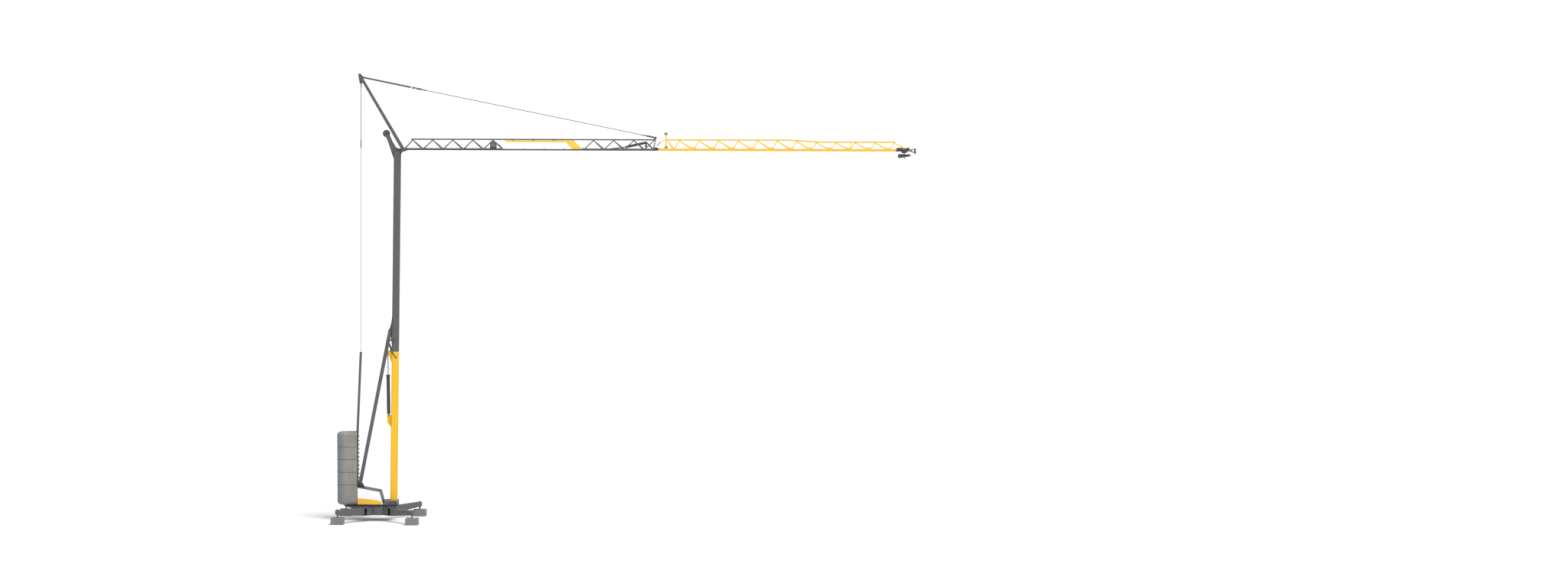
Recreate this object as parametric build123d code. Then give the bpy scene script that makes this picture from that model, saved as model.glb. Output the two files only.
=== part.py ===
from build123d import *
import os
from math import cos, hypot, radians, sin

# A fast-erecting tower crane that slews at its foot, in working position.
# Millimetres. The origin is on the ground at the slewing axis, +X along the jib, +Z up.

# Play between pieces: seats and pins, and the wider gap at lugs and forks.
SEAT = 0.3
LUG_GAP = 5

# Support base
SPINDLE_REACH = 1930
PAD_SIDE = 655
PAD_HEIGHT = 330
PAD_CHAMFER = 14
FOOT_PLATE_RADIUS = 105
FOOT_PLATE_THICK = 22
SPINDLE_RADIUS = 30
SPINDLE_PROUD = 42
ARM_PIN_RADIAL = 1080
ARM_PIN_RADIUS = 28
ARM_PIN_PROUD = 15
ARM_WIDTH = 210
ARM_WALL = 10
ARM_ROOT_LOW = 335
ARM_ROOT_HIGH = 690
ARM_TIP_LOW = 505
ARM_TIP_HIGH = 735
ARM_STRAIGHT = 330
ARM_PAST_SPINDLE = 65
ARM_BLIND_END = 90
COLLAR_RISE = 26
COLLAR_HEIGHT = 45
LUG_THICK = 25
FRAME_BEAM_WIDTH = 300
FRAME_HUB_RADIUS = 560
FRAME_WALL = 14
RING_RADIUS = 500
RING_BORE = 340
RING_HEIGHT = 25

# Turning platform
DECK_LOW = 770
DECK_HIGH = 860
GIRDER_HALF_GAUGE = 380
GIRDER_WIDTH = 120
GIRDER_WALL = 8
GIRDER_FRONT = 1010
GIRDER_CRANK = -560
CRANK_RUN = 60
TAIL_LOW = 740
TAIL_HIGH = 810
TAIL_END = -1650
CROSS_BEAM = 60
MAST_SEAT_REAR = 560
SHOE_HIGH = 1050
SHOE_WALL = 10
SHOE_REAR_GAP = 6

# Ballast on the tail, with its step irons
BALLAST_FRONT = -1090
BALLAST_REAR = -2150
BALLAST_HALF_WIDTH = 440
BALLAST_FIRST_HEIGHT = 1050
BALLAST_BLOCK_HEIGHT = 663
BALLAST_TOP_HEIGHT = 750
BALLAST_BLOCKS = 5
BALLAST_EDGE = 110
BALLAST_FOOT_EDGE = 180
BALLAST_SLOT_WIDTH = 300
BALLAST_SLOT_DEPTH = 400
RUNGS = 12
RUNG_PITCH = 215
RUNG_FIRST = 2010
RUNG_WIDTH = 240
RUNG_REACH = 130
RUNG_HOOK = 46
RUNG_BAR = 24

# Machinery housing
CABINET_REAR = -1060
CABINET_HALF_WIDTH = 440
CABINET_HIGH_REAR = 1757
CABINET_HIGH_FRONT = 1546
CABINET_TOP_FRONT = 115
CABINET_FOOT_FRONT = 297
CABINET_WALL = 6
CABINET_BEND = 60
COVER_THICK = 5
COVER_LIP = 30

# Leaning box mast and its head
MAST_FOOT_X = 773
MAST_LEAN = 0.0156
MAST_SIDE = 350
MAST_WALL = 8
MAST_SPLIT = 8790
MAST_TOP = 19200
MAST_FLANGE = 26
HEAD_PLATE_THICK = 12
HEAD_FOOT = 460
CHEEK_HALF_GAP = 88
HEAD_SHEAVE_X = 500
HEAD_SHEAVE_Z = 20090
HEAD_SHEAVE_RADIUS = 187
HEAD_SHEAVE_PLAY = 14
SHEAVE_THICK = 56
EAR_RADIUS = 62
AXLE_RADIUS = 24
AXLE_PROUD = 18

# Long strut behind the mast
STRUT_WIDTH = 170
STRUT_LEG = 60
STRUT_HALF_GAP = 81
STRUT_WALL = 6
STRUT_FOOT_X = -972
STRUT_FOOT_Z = 1870
STRUT_HEAD_X = 640
STRUT_HEAD_Z = 9900
STRUT_SPACERS = (0.1, 0.3, 0.5, 0.7)
SPACER_RADIUS = 30
SHOE_FRONT_X = -727
SHOE_PLATE = 14

# Folding gear of the mast
CYLINDER_RADIUS = 90
CYLINDER_ROD_RADIUS = 34
CYLINDER_FOOT_X = 538
CYLINDER_FOOT_Z = 5460
CYLINDER_TOP_Z = 7550
CYLINDER_ROD_TOP_X = 507
CYLINDER_ROD_TOP_Z = 8700
EYE_RADIUS = 50
KNEE_X = 500
KNEE_Z = 9340
LINK_DEPTH = 56
LINK_THICK = 12
LINK_INNER = 45
LINK_OUTER = 182
LOWER_PIN_X = 790
LOWER_PIN_Z = 8700
UPPER_PIN_X = 880
UPPER_PIN_Z = 9405
LATCH_TOP_X = 655
LATCH_TOP_Z = 8850
LATCH_FOOT_X = 960
LATCH_FOOT_Z = 8480
GUSSET_REACH = 204

# Lattice jib of two lengths
PIVOT_X = 1353
JIB_Z = 19290
JIB_DEPTH = 510
JIB_TIP_DEPTH = 420
JIB_HALF_GAUGE = 310
CHORD = 70
CHORD_WALL = 4
APEX_HALF_GAUGE = 24
ANGLE_LEG = 50
ANGLE_FOOT = 26
ANGLE_WALL = 5
FLOOR_BAR = 45
FLOOR_BAR_THICK = 10
FLOOR_RISE = 6
RAIL_WIDTH = 32
RAIL_THICK = 8
PIVOT_RADIUS = 32
INNER_PITCH = 1040
INNER_BAYS = 12
INNER_FIRST_RISE = 500
INNER_TOP_LEAD = 63
ROOT_NODE_SHIFT = 80
ROOT_GUSSET_LONG = 380
ROOT_GUSSET_DEEP = 120
ROOT_GUSSET_THICK = 14
INNER_END = 14440
OUTER_START = 14556
OUTER_TOP_START = 14990
OUTER_PITCH = 1008
OUTER_FIRST_TOP = 15647
OUTER_FALL_RUN = 718
OUTER_BAYS = 11
OUTER_POST_X = 24500
TAPER_FROM = 21300
TAPER_TO = 22780
CHORD_END = 27540
TIP_END = 27830
TIP_PLATE = 50
TIP_DROP = 135
TIP_RISE = 80
TIP_SIDE_THICK = 12

# Fold of the jib
END_FRAME_THICK = 50
END_FRAME_LEAN = 110
FRAME_BAR = 60
HINGE_POST_X = 14925
HINGE_POST_DEEP = 60
HINGE_SHEAVE_RADIUS = 80
HINGE_SHEAVE_THICK = 36
HINGE_SHEAVE_HIGH = 820
HINGE_SHEAVE_LOW = 125
HINGE_PLATE_REAR = 14270
HINGE_PLATE_FRONT = 14600
HINGE_PLATE_THICK = 14
HINGE_PIN_X = 14420
BRACE_FOOT_X = 14500
BRACE_FOOT_RISE = 240
BRACE_TOP_X = 14770
BRACE_BAR = 44
LEVER_FOOT_X = 11845
LEVER_KNEE_X = 12910
LEVER_KNEE_RISE = 140
LEVER_FRONT_X = 13950
LEVER_FRONT_RISE = 370
LEVER_POST_X = 13900
LEVER_TOE_X = 14225
LEVER_TOE_RISE = 100
LEVER_BARREL_RADIUS = 66
LEVER_ROD_RADIUS = 26

# Strut above the jib, its stay and the guy behind the mast
STRUT_TIP_X = -880
STRUT_TIP_Z = 23130
TOP_STRUT_WIDTH = 120
TOP_STRUT_EYE = 75
TOP_STRUT_DEPTH = 70
TOP_STRUT_FOOT_GAUGE = 225
TOP_STRUT_HEAD_GAUGE = 75
TOP_STRUT_SPACERS = (0.36, 0.62, 0.84)
STAY_HEAD_X = -766
STAY_HEAD_Z = 23000
STAY_FOOT_X = 14440
STAY_FOOT_Z = 19905
STAY_LINK_X = 13960
STAY_BAR = 90
STAY_BAR_THICK = 24
STAY_BAR_END_X = 1730
STAY_COUPLING_END_X = 2330
STAY_COUPLING_THICK = 60
STAY_ROPE_RADIUS = 20
LINK_PIN_RADIUS = 20
GUY_ANCHOR_X = -1220
GUY_ANCHOR_Z = 1780
GUY_KNEE_X = -893
GUY_KNEE_Z = 8700
GUY_HEAD_X = -800
GUY_HEAD_Z = 22740
GUY_BAR_DEPTH = 122
GUY_BAR_THICK = 14
GUY_BAR_HALF_GAP = 33
GUY_SPACERS = (0.04, 0.22, 0.4, 0.6)
GUY_ROPE_RADIUS = 13
GUY_CABLE_RADIUS = 20
GUY_SOCKET_RADIUS = 33
GUY_SOCKET_LOW = 19300
GUY_SOCKET_HIGH = 19800
GUY_ROPE_HIDDEN = 150
GUY_GUIDE = 100

# Sign and trolley winch on the jib
SIGN_REAR = 6540
SIGN_FRONT = 10670
SIGN_HEIGHT = 494
SIGN_THICK = 16
WINCH_X = 6030
WINCH_LENGTH = 325
WINCH_HEIGHT = 400
WINCH_INSET = 44
WINCH_WALL = 8
WINCH_OPEN = 180

# Trolley, falls and hook
TROLLEY_REAR = 26830
TROLLEY_FRONT = 27500
TROLLEY_PLATE_THICK = 10
TROLLEY_HIGH = 19400
TROLLEY_PLATE_LOW = 19250
TROLLEY_LOW = 19172
WHEEL_RADIUS = 40
WHEEL_WIDTH = 24
WHEEL_INSET = 110
WHEEL_GAP = 5
PLATE_GAP = 6
FALLS_X = 27235
FALLS_PIVOT_Z = 19175
FALLS_PIN_RADIUS = 14
FALLS_DROP = 55
HANGER_HALF = 75
HANGER_TIE = 40
BLOCK_SHEAVE_X = 27000
BLOCK_SHEAVE_Z = 19000
BLOCK_SHEAVE_RADIUS = 107
BLOCK_CHEEK = 8
BLOCK_HALF_GAP = 26
BLOCK_TAIL_X = 27570
BLOCK_TOP = 19080
BLOCK_PEG_X = 27440
HOIST_ROPE_RADIUS = 8
FALLS_HALF_SPREAD = 20
HOOK_SHANK_RADIUS = 14
HOOK_SHANK_DROP = 90
HOOK_RADIUS = 34
HOOK_WIDE = 26
HOOK_DEEP = 28
HOOK_SWEEP = 250

TOP_CHORD_Z = JIB_Z + JIB_DEPTH
FRAME_HIGH = ARM_ROOT_HIGH + LUG_GAP + LUG_THICK
BALLAST_TURN_X = BALLAST_REAR + BALLAST_HALF_WIDTH
FLOOR_LOW = JIB_Z - CHORD / 2 + FLOOR_RISE
FLOOR_HIGH = FLOOR_LOW + FLOOR_BAR_THICK
THROUGH = 3000


def block(x0, x1, y0, y1, z0, z1):
    """A box between two corners."""
    return Solid.make_box(x1 - x0, y1 - y0, z1 - z0, Plane((x0, y0, z0)))


def slab(outline, y0, y1):
    """A plate cut to an outline in X and Z that fills y0 to y1."""
    face = Face(Wire.make_polygon([(x, y0, z) for x, z in outline]))
    return Solid.extrude(face, Vector(0, y1 - y0, 0))


def pair(outline, inner, outer):
    """The same plate on both sides of the crane, from inner to outer."""
    return slab(outline, -outer, -inner), slab(outline, inner, outer)


def inset(outline, depths):
    """The outline with each side moved inwards by its own depth. Side number n starts at point number n."""
    count = len(outline)
    turn = sum(x0 * z1 - x1 * z0 for (x0, z0), (x1, z1) in zip(outline, outline[1:] + outline[:1]))
    sides = []
    for (x0, z0), (x1, z1), depth in zip(outline, outline[1:] + outline[:1], depths):
        long = hypot(x1 - x0, z1 - z0)
        inward = (1 if turn > 0 else -1) * depth
        dx, dz = (x1 - x0) / long, (z1 - z0) / long
        sides.append((x0 - dz * inward, z0 + dx * inward, dx, dz))
    moved = []
    for number in range(count):
        x0, z0, ax, az = sides[number - 1]
        x1, z1, bx, bz = sides[number]
        along = ((x1 - x0) * bz - (z1 - z0) * bx) / (ax * bz - az * bx)
        moved.append((x0 + ax * along, z0 + az * along))
    return moved


def round_bar(start, end, radius):
    """A round bar between two points."""
    along = Vector(*end) - Vector(*start)
    return Solid.make_cylinder(radius, along.length, Plane(start, z_dir=along))


def disc(x, z, radius, y0, y1):
    """A disc whose axis lies along Y."""
    return round_bar((x, y0, z), (x, y1, z), radius)


def pin_bore(x, z, radius):
    """The hole for a pin, right through along Y."""
    return disc(x, z, radius + SEAT, -THROUGH, THROUGH)


def join(pieces):
    """Pieces that are welded into one."""
    whole = pieces[0]
    for piece in pieces[1:]:
        whole = whole + piece
    return whole


def flat_bar(start, end, depth, y0, y1):
    """A straight bar seen from the side: start and end in X and Z, its depth across them, from y0 to y1."""
    (x0, z0), (x1, z1) = start, end
    long = hypot(x1 - x0, z1 - z0)
    nx, nz = -(z1 - z0) / long * depth / 2, (x1 - x0) / long * depth / 2
    return slab([(x0 + nx, z0 + nz), (x1 + nx, z1 + nz), (x1 - nx, z1 - nz), (x0 - nx, z0 - nz)], y0, y1)


def link(start, end, depth, y0, y1):
    """A flat bar with a round eye at each end."""
    bar = flat_bar(start, end, depth, y0, y1)
    return bar + disc(*start, depth / 2 + LUG_GAP, y0, y1) + disc(*end, depth / 2 + LUG_GAP, y0, y1)


def pair_links(start, end, depth, inner, outer):
    """The same link on both sides of the crane, from inner to outer."""
    return link(start, end, depth, -outer, -inner), link(start, end, depth, inner, outer)


def beam(start, end, across, width, depth, wall=0):
    """A bar of rectangular section, hollow with open ends where it has a wall."""
    along = Vector(*end) - Vector(*start)
    line = Plane(start, x_dir=across, z_dir=along)

    def stick(wide, deep):
        corner = line.from_local_coords(Vector(-wide / 2, -deep / 2, 0))
        return Solid.make_box(wide, deep, along.length, Plane(corner, x_dir=line.x_dir, z_dir=line.z_dir))

    if wall == 0:
        return stick(width, depth)
    return stick(width, depth) - stick(width - 2 * wall, depth - 2 * wall)


def angle_bar(start, end, across, leg, foot, wall):
    """An angle section between two points, its leg flat across and its foot turned along the normal."""
    along = Vector(*end) - Vector(*start)
    line = Plane(start, x_dir=across, z_dir=along)
    section = [(-leg / 2, 0), (leg / 2, 0), (leg / 2, wall), (wall - leg / 2, wall), (wall - leg / 2, foot), (-leg / 2, foot)]
    face = Face(Wire.make_polygon([line.from_local_coords(Vector(u, v, 0)) for u, v in section]))
    return Solid.extrude(face, along)


def sheave(x, z, radius, thick):
    """A grooved rope wheel with its axis along Y, turned from one profile."""
    groove = thick * 0.3
    rim = thick / 2
    profile = [(0, -rim), (radius, -rim), (radius, -groove), (radius - groove, 0), (radius, groove), (radius, rim), (0, rim)]
    face = Face(Wire.make_polygon([(x + r, y, z) for r, y in profile]))
    return Solid.revolve(face, 360, Axis((x, 0, z), (0, 1, 0)))


def write(name, *solids):
    """One sub-part: its solids go to one file."""
    shape = solids[0] if len(solids) == 1 else Compound(children=list(solids))
    export_step(shape, f"parts/{name}.step")


def polar(shape, degrees_round):
    return shape.rotate(Axis.Z, degrees_round)


# Support base

def centre_frame():
    """Two crossed box beams with a drum, pin lugs at the four ends and the fixed ring on top."""
    low = ARM_ROOT_LOW - LUG_THICK - LUG_GAP
    high = FRAME_HIGH
    end = ARM_PIN_RADIAL - ARM_WIDTH / 2 - 2 * SPINDLE_RADIUS
    half = FRAME_BEAM_WIDTH / 2
    inner = half - FRAME_WALL
    frame = Solid.make_cylinder(FRAME_HUB_RADIUS, high - low, Plane((0, 0, low)))
    for turn in (45, 135):
        frame = frame + polar(block(-end, end, -half, half, low, high), turn)
    for turn in (45, 135):
        frame = frame - polar(block(-end, end, -inner, inner, low + FRAME_WALL, high - FRAME_WALL), turn)
    lug = block(end - FRAME_WALL, ARM_PIN_RADIAL, -ARM_WIDTH / 2, ARM_WIDTH / 2, low, low + LUG_THICK)
    lug = lug + Solid.make_cylinder(ARM_WIDTH / 2, LUG_THICK, Plane((ARM_PIN_RADIAL, 0, low)))
    lug = lug - Solid.make_cylinder(ARM_PIN_RADIUS + SEAT, 3 * LUG_THICK, Plane((ARM_PIN_RADIAL, 0, low - LUG_THICK)))
    for turn in (45, 135, 225, 315):
        frame = frame + polar(lug, turn) + polar(lug.moved(Location((0, 0, high - low - LUG_THICK))), turn)
    ring = Solid.make_cylinder(RING_RADIUS, RING_HEIGHT, Plane((0, 0, high)))
    bore = Solid.make_cylinder(RING_BORE, high + RING_HEIGHT, Plane((0, 0, 0)))
    return frame + ring - bore


def outrigger_arm():
    """A tapering box arm along X with its hinge pin at the root and its levelling spindle at the tip."""
    reach = SPINDLE_REACH * 2 ** 0.5
    end = reach + ARM_PAST_SPINDLE
    half = ARM_WIDTH / 2
    root = ARM_PIN_RADIAL
    knee = root + ARM_STRAIGHT
    outline = [(root, ARM_ROOT_LOW), (knee, ARM_ROOT_LOW), (end, ARM_TIP_LOW), (end, ARM_TIP_HIGH),
               (knee, ARM_ROOT_HIGH), (root, ARM_ROOT_HIGH)]
    core = inset(outline, (ARM_WALL, ARM_WALL, ARM_PAST_SPINDLE + ARM_BLIND_END, ARM_WALL, ARM_WALL, half + ARM_WALL))
    knuckle = Solid.make_cylinder(half, ARM_ROOT_HIGH - ARM_ROOT_LOW, Plane((root, 0, ARM_ROOT_LOW)))
    arm = slab(outline, -half, half) + knuckle - slab(core, ARM_WALL - half, half - ARM_WALL)
    pin_low = ARM_ROOT_LOW - LUG_GAP - LUG_THICK
    pin_high = FRAME_HIGH + ARM_PIN_PROUD
    arm = arm + Solid.make_cylinder(ARM_PIN_RADIUS, pin_high - pin_low, Plane((root, 0, pin_low)))
    spindle_high = ARM_TIP_HIGH + SPINDLE_PROUD
    spindle = Solid.make_cylinder(SPINDLE_RADIUS, spindle_high - PAD_HEIGHT, Plane((reach, 0, PAD_HEIGHT)))
    foot = Solid.make_cylinder(FOOT_PLATE_RADIUS, FOOT_PLATE_THICK, Plane((reach, 0, PAD_HEIGHT)))
    collar = Solid.make_cylinder(SPINDLE_RADIUS + COLLAR_RISE, COLLAR_HEIGHT,
                                 Plane((reach, 0, ARM_TIP_LOW - COLLAR_HEIGHT)))
    return arm + spindle + foot + collar


def ground_pad():
    """A square concrete pad under a spindle, with its edges broken."""
    pad = Box(PAD_SIDE, PAD_SIDE, PAD_HEIGHT).moved(Location((0, 0, PAD_HEIGHT / 2)))
    return chamfer(pad.edges().filter_by(Axis.Z) + pad.edges().group_by(Axis.Z)[-1], PAD_CHAMFER)


CORNERS = {"front_left": 225, "front_right": 315, "rear_right": 45, "rear_left": 135}


def support_base():
    write("centre_frame", centre_frame())
    arm = outrigger_arm()
    for name, turn in CORNERS.items():
        write(f"outrigger_{name}", polar(arm, turn))
        x = SPINDLE_REACH * (1 if cos(radians(turn)) > 0 else -1)
        y = SPINDLE_REACH * (1 if sin(radians(turn)) > 0 else -1)
        write(f"ground_pad_{name}", ground_pad().moved(Location((x, y, 0))))


# Turning platform

def platform_frame():
    """Two cranked box girders with cross beams, the turning ring below and the mast shoe in front."""
    half = GIRDER_WIDTH / 2
    outline = [(TAIL_END, TAIL_LOW), (GIRDER_CRANK - CRANK_RUN, TAIL_LOW), (GIRDER_CRANK, DECK_LOW), (GIRDER_FRONT, DECK_LOW),
               (GIRDER_FRONT, DECK_HIGH), (BALLAST_FRONT + SEAT, DECK_HIGH), (BALLAST_FRONT + SEAT, TAIL_HIGH),
               (TAIL_END, TAIL_HIGH)]
    core = inset(outline, [GIRDER_WALL] * len(outline))
    inner = GIRDER_HALF_GAUGE - half
    outer = GIRDER_HALF_GAUGE + half
    girders = join(pair(outline, inner, outer)) - join(pair(core, inner + GIRDER_WALL, outer - GIRDER_WALL))
    frame = girders + block(TAIL_END, TAIL_END + CROSS_BEAM, -inner, inner, TAIL_LOW, TAIL_HIGH)
    frame = frame + block(CABINET_REAR, CABINET_REAR + CROSS_BEAM, -inner, inner, TAIL_HIGH, DECK_HIGH)
    seat = block(MAST_SEAT_REAR, GIRDER_FRONT, -inner, inner, DECK_LOW, DECK_HIGH)
    frame = frame + seat - block(MAST_SEAT_REAR + GIRDER_WALL, GIRDER_FRONT - GIRDER_WALL, -inner, inner,
                                 DECK_LOW + GIRDER_WALL, DECK_HIGH - GIRDER_WALL)
    ring_low = FRAME_HIGH + RING_HEIGHT + SEAT
    ring = Solid.make_cylinder(RING_RADIUS, DECK_LOW - ring_low + GIRDER_WALL, Plane((0, 0, ring_low)))
    frame = frame + ring - Solid.make_cylinder(RING_BORE, DECK_HIGH, Plane((0, 0, ring_low)))
    rear = CABINET_FOOT_FRONT + SHOE_REAR_GAP
    shoe = block(rear, GIRDER_FRONT, -outer, outer, DECK_HIGH, SHOE_HIGH)
    shoe = shoe - block(rear + SHOE_WALL, GIRDER_FRONT - SHOE_WALL, SHOE_WALL - outer, outer - SHOE_WALL,
                        DECK_HIGH, SHOE_HIGH - SHOE_WALL)
    mast_room = MAST_SIDE / 2 + SEAT
    x = mast_x(SHOE_HIGH)
    shoe = shoe - block(x - mast_room - 1, x + mast_room, -mast_room, mast_room, DECK_HIGH, SHOE_HIGH)
    return frame + shoe


def mast_x(z):
    """The mast's centre line leans a little toward the jib."""
    return MAST_FOOT_X + MAST_LEAN * z


def ballast_outline():
    """Plan of a block: flat in front with a slot for the guy, and a half round at the rear."""
    half = BALLAST_HALF_WIDTH
    slot = BALLAST_SLOT_WIDTH / 2
    depth = BALLAST_FRONT - BALLAST_SLOT_DEPTH
    turn = BALLAST_TURN_X
    rear_arc = ThreePointArc((turn, half), (BALLAST_REAR, 0), (turn, -half))
    path = Polyline((turn, -half), (BALLAST_FRONT, -half), (BALLAST_FRONT, -slot), (depth, -slot), (depth, slot),
                    (BALLAST_FRONT, slot), (BALLAST_FRONT, half), (turn, half))
    return Face(Wire(path.edges() + rear_arc.edges()))


def ballast():
    """Five cast blocks stacked on the tail, the lowest rounded at its foot and the highest bevelled on top."""
    low = TAIL_HIGH
    for number in range(1, BALLAST_BLOCKS + 1):
        height = BALLAST_BLOCK_HEIGHT
        if number == 1:
            height = BALLAST_FIRST_HEIGHT
        if number == BALLAST_BLOCKS:
            height = BALLAST_TOP_HEIGHT
        body = Solid.extrude(ballast_outline().moved(Location((0, 0, low + SEAT))), Vector(0, 0, height - SEAT))
        if number == 1:
            body = fillet(rim_edges(body, 0), BALLAST_FOOT_EDGE)
        if number == BALLAST_BLOCKS:
            body = chamfer(rim_edges(body, -1), BALLAST_EDGE)
        write(f"ballast_block_{number}", body)
        low += height


def rim_edges(body, level):
    """The two sides and the rounded rear of a block's lowest (0) or highest (-1) rim."""
    edges = body.edges().group_by(Axis.Z)[level]
    near_front = BALLAST_FRONT - BALLAST_SLOT_DEPTH - 1
    return ShapeList(e for e in edges if e.center().X < near_front or abs(e.center().Y) > BALLAST_HALF_WIDTH - 1)


def ballast_ladder():
    """Step irons let into the blocks' front on the near side of the slot, each a bar on two arms that turn up."""
    front = BALLAST_FRONT + SEAT
    tip = front + RUNG_REACH
    middle = -(BALLAST_HALF_WIDTH + BALLAST_SLOT_WIDTH / 2) / 2
    near, far = middle - RUNG_WIDTH / 2, middle + RUNG_WIDTH / 2
    irons = []
    for number in range(RUNGS):
        z = RUNG_FIRST + RUNG_PITCH * number
        hook = [(front, z), (tip, z), (tip, z + RUNG_HOOK), (tip - RUNG_BAR, z + RUNG_HOOK), (tip - RUNG_BAR, z + RUNG_BAR),
                (front, z + RUNG_BAR)]
        arms = slab(hook, near, near + RUNG_BAR) + slab(hook, far - RUNG_BAR, far)
        irons.append(arms + block(tip - RUNG_BAR, tip, near + RUNG_BAR, far - RUNG_BAR, z + RUNG_HOOK - RUNG_BAR, z + RUNG_HOOK))
    return irons


CABINET_OUTLINE = [(CABINET_REAR, DECK_HIGH), (CABINET_FOOT_FRONT, DECK_HIGH), (CABINET_TOP_FRONT, CABINET_HIGH_FRONT),
                   (CABINET_REAR, CABINET_HIGH_REAR)]


def bent(body):
    """The housing's upper front edge is bent round, not folded sharp."""
    edges = ShapeList(e for e in body.edges().filter_by(Axis.Y)
                      if hypot(e.center().X - CABINET_TOP_FRONT, e.center().Z - CABINET_HIGH_FRONT) < CABINET_BEND / 2)
    return fillet(edges, CABINET_BEND)


def machinery_cabinet():
    """A sheet housing over the winches, open below, its roof falling forward."""
    half = CABINET_HALF_WIDTH
    wall = CABINET_WALL
    core = inset(CABINET_OUTLINE, (-wall, wall, wall, wall))
    return bent(slab(CABINET_OUTLINE, -half, half)) - bent(slab(core, wall - half, half - wall))


def cabinet_trim():
    """The dark cover sheet over the roof and the sloping front, turned down over both sides."""
    half = CABINET_HALF_WIDTH + SEAT
    skin = COVER_THICK + SEAT
    over = bent(slab(inset(CABINET_OUTLINE, (0, -skin, -skin, 0)), -half - COVER_THICK, half + COVER_THICK))
    under = bent(slab(inset(CABINET_OUTLINE, (-skin, -SEAT, -SEAT, skin * -1)), -half, half))
    sides = slab(inset(CABINET_OUTLINE, (-skin, COVER_LIP, COVER_LIP, -skin)), -THROUGH, THROUGH)
    return over - under - sides


# Mast

def mast_piece(low, high, side, wall):
    """A square tube along the leaning centre line, cut level at both ends."""
    reach = side / 4
    tube = beam((mast_x(low - reach), 0, low - reach), (mast_x(high + reach), 0, high + reach), (0, 1, 0), side, side, wall)
    wide = MAST_FOOT_X + THROUGH
    tube = tube - block(-wide, wide, -wide, wide, low - 3 * reach, low)
    return tube - block(-wide, wide, -wide, wide, high, high + 3 * reach)


def mast_head():
    """A closed box horn through the top of the tube: back to the head sheave, forward to the ear of the jib pin."""
    half = MAST_SIDE / 2
    rear = mast_x(MAST_TOP) - half + MAST_WALL / 2
    front = mast_x(MAST_TOP) + half - MAST_WALL / 2
    foot = MAST_TOP - HEAD_FOOT
    x, z, r = HEAD_SHEAVE_X, HEAD_SHEAVE_Z, EAR_RADIUS
    outline = [(rear, foot), (rear - 2 * r, foot + 5.4 * r), (x + 1.6 * r, z - 7.4 * r), (x - 0.3 * r, z - 2.9 * r),
               (x - r, z), (x, z + r), (x + 2.6 * r, z - r), (x + 4.7 * r, z - 6 * r),
               (front - 4.1 * r, MAST_TOP + 2.8 * r), (front - 2 * r, MAST_TOP + 1.9 * r), (PIVOT_X - 2 * r, JIB_Z + 0.6 * r),
               (PIVOT_X, JIB_Z + r), (PIVOT_X + r, JIB_Z), (PIVOT_X, JIB_Z - r), (front, foot + 4 * r), (front, foot)]
    wide = CHEEK_HALF_GAP + HEAD_PLATE_THICK
    core = inset(outline, [HEAD_PLATE_THICK] * len(outline))
    horn = slab(outline, -wide, wide) - slab(core, -CHEEK_HALF_GAP, CHEEK_HALF_GAP)
    room = disc(x, z, HEAD_SHEAVE_RADIUS + HEAD_SHEAVE_PLAY, -CHEEK_HALF_GAP, CHEEK_HALF_GAP)
    return horn - room - pin_bore(PIVOT_X, JIB_Z, PIVOT_RADIUS) - pin_bore(x, z, AXLE_RADIUS)


def rear_gusset():
    """Two plates behind the mast that take the head of the long strut."""
    face = mast_x(STRUT_HEAD_Z) - MAST_SIDE / 2 + MAST_WALL / 2
    r = EAR_RADIUS
    x, z = STRUT_HEAD_X, STRUT_HEAD_Z
    foot = min(z - 5 * r, MAST_SPLIT + 110)
    outline = [(face, z + 12 * r), (x + r, z + 6 * r), (x - r / 2, z + r), (x - r / 2, z - r), (x + r / 2, z - 4 * r),
               (face - MAST_WALL, foot), (face, foot)]
    outer = STRUT_HALF_GAP - LUG_GAP
    return join(pair(outline, outer - HEAD_PLATE_THICK, outer)) - pin_bore(x, z, AXLE_RADIUS)


def upper_mast():
    """The upper tube with its cap, the flange on which it stands, the horn and the strut's gusset."""
    tube = mast_piece(MAST_SPLIT + SEAT, MAST_TOP, MAST_SIDE, MAST_WALL)
    half = MAST_SIDE / 2
    x = mast_x(MAST_TOP)
    cap = block(x - half, x + half, -half, half, MAST_TOP - MAST_WALL, MAST_TOP + MAST_WALL)
    foot = mast_x(MAST_SPLIT)
    flange = block(foot - half, foot + half, -half, half, MAST_SPLIT + SEAT, MAST_SPLIT + MAST_FLANGE)
    return tube + cap + flange + mast_head() + rear_gusset()


def lower_mast():
    """The lower tube with its flared top gusset and the bracket of the folding cylinder."""
    tube = mast_piece(DECK_HIGH + SEAT, MAST_SPLIT, MAST_SIDE, MAST_WALL)
    half = MAST_SIDE / 2
    face = mast_x(MAST_SPLIT) - half + MAST_WALL / 2
    flare = [(face, MAST_SPLIT - 600), (face, MAST_SPLIT), (face - GUSSET_REACH, MAST_SPLIT),
             (face - GUSSET_REACH, MAST_SPLIT - 140)]
    x, z = CYLINDER_FOOT_X, CYLINDER_FOOT_Z
    foot_face = mast_x(z) - half + MAST_WALL / 2
    r = EYE_RADIUS
    ear = [(foot_face, z - 12 * r), (x - 1.4 * r, z - 8 * r), (x - 1.4 * r, z + r), (x + r, z + 1.2 * r), (foot_face, z - r)]
    tube = join([tube, *pair(flare, 100, 114), *pair(ear, LINK_INNER + LUG_GAP, LINK_INNER + LUG_GAP + LINK_THICK)])
    return tube - pin_bore(x, z, AXLE_RADIUS)


def head_sheave():
    """The grooved wheel in the horn, on an axle between the cheeks."""
    wheel = sheave(HEAD_SHEAVE_X, HEAD_SHEAVE_Z, HEAD_SHEAVE_RADIUS, SHEAVE_THICK)
    proud = CHEEK_HALF_GAP + HEAD_PLATE_THICK + AXLE_PROUD
    return wheel + disc(HEAD_SHEAVE_X, HEAD_SHEAVE_Z, AXLE_RADIUS, -proud, proud)


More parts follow.
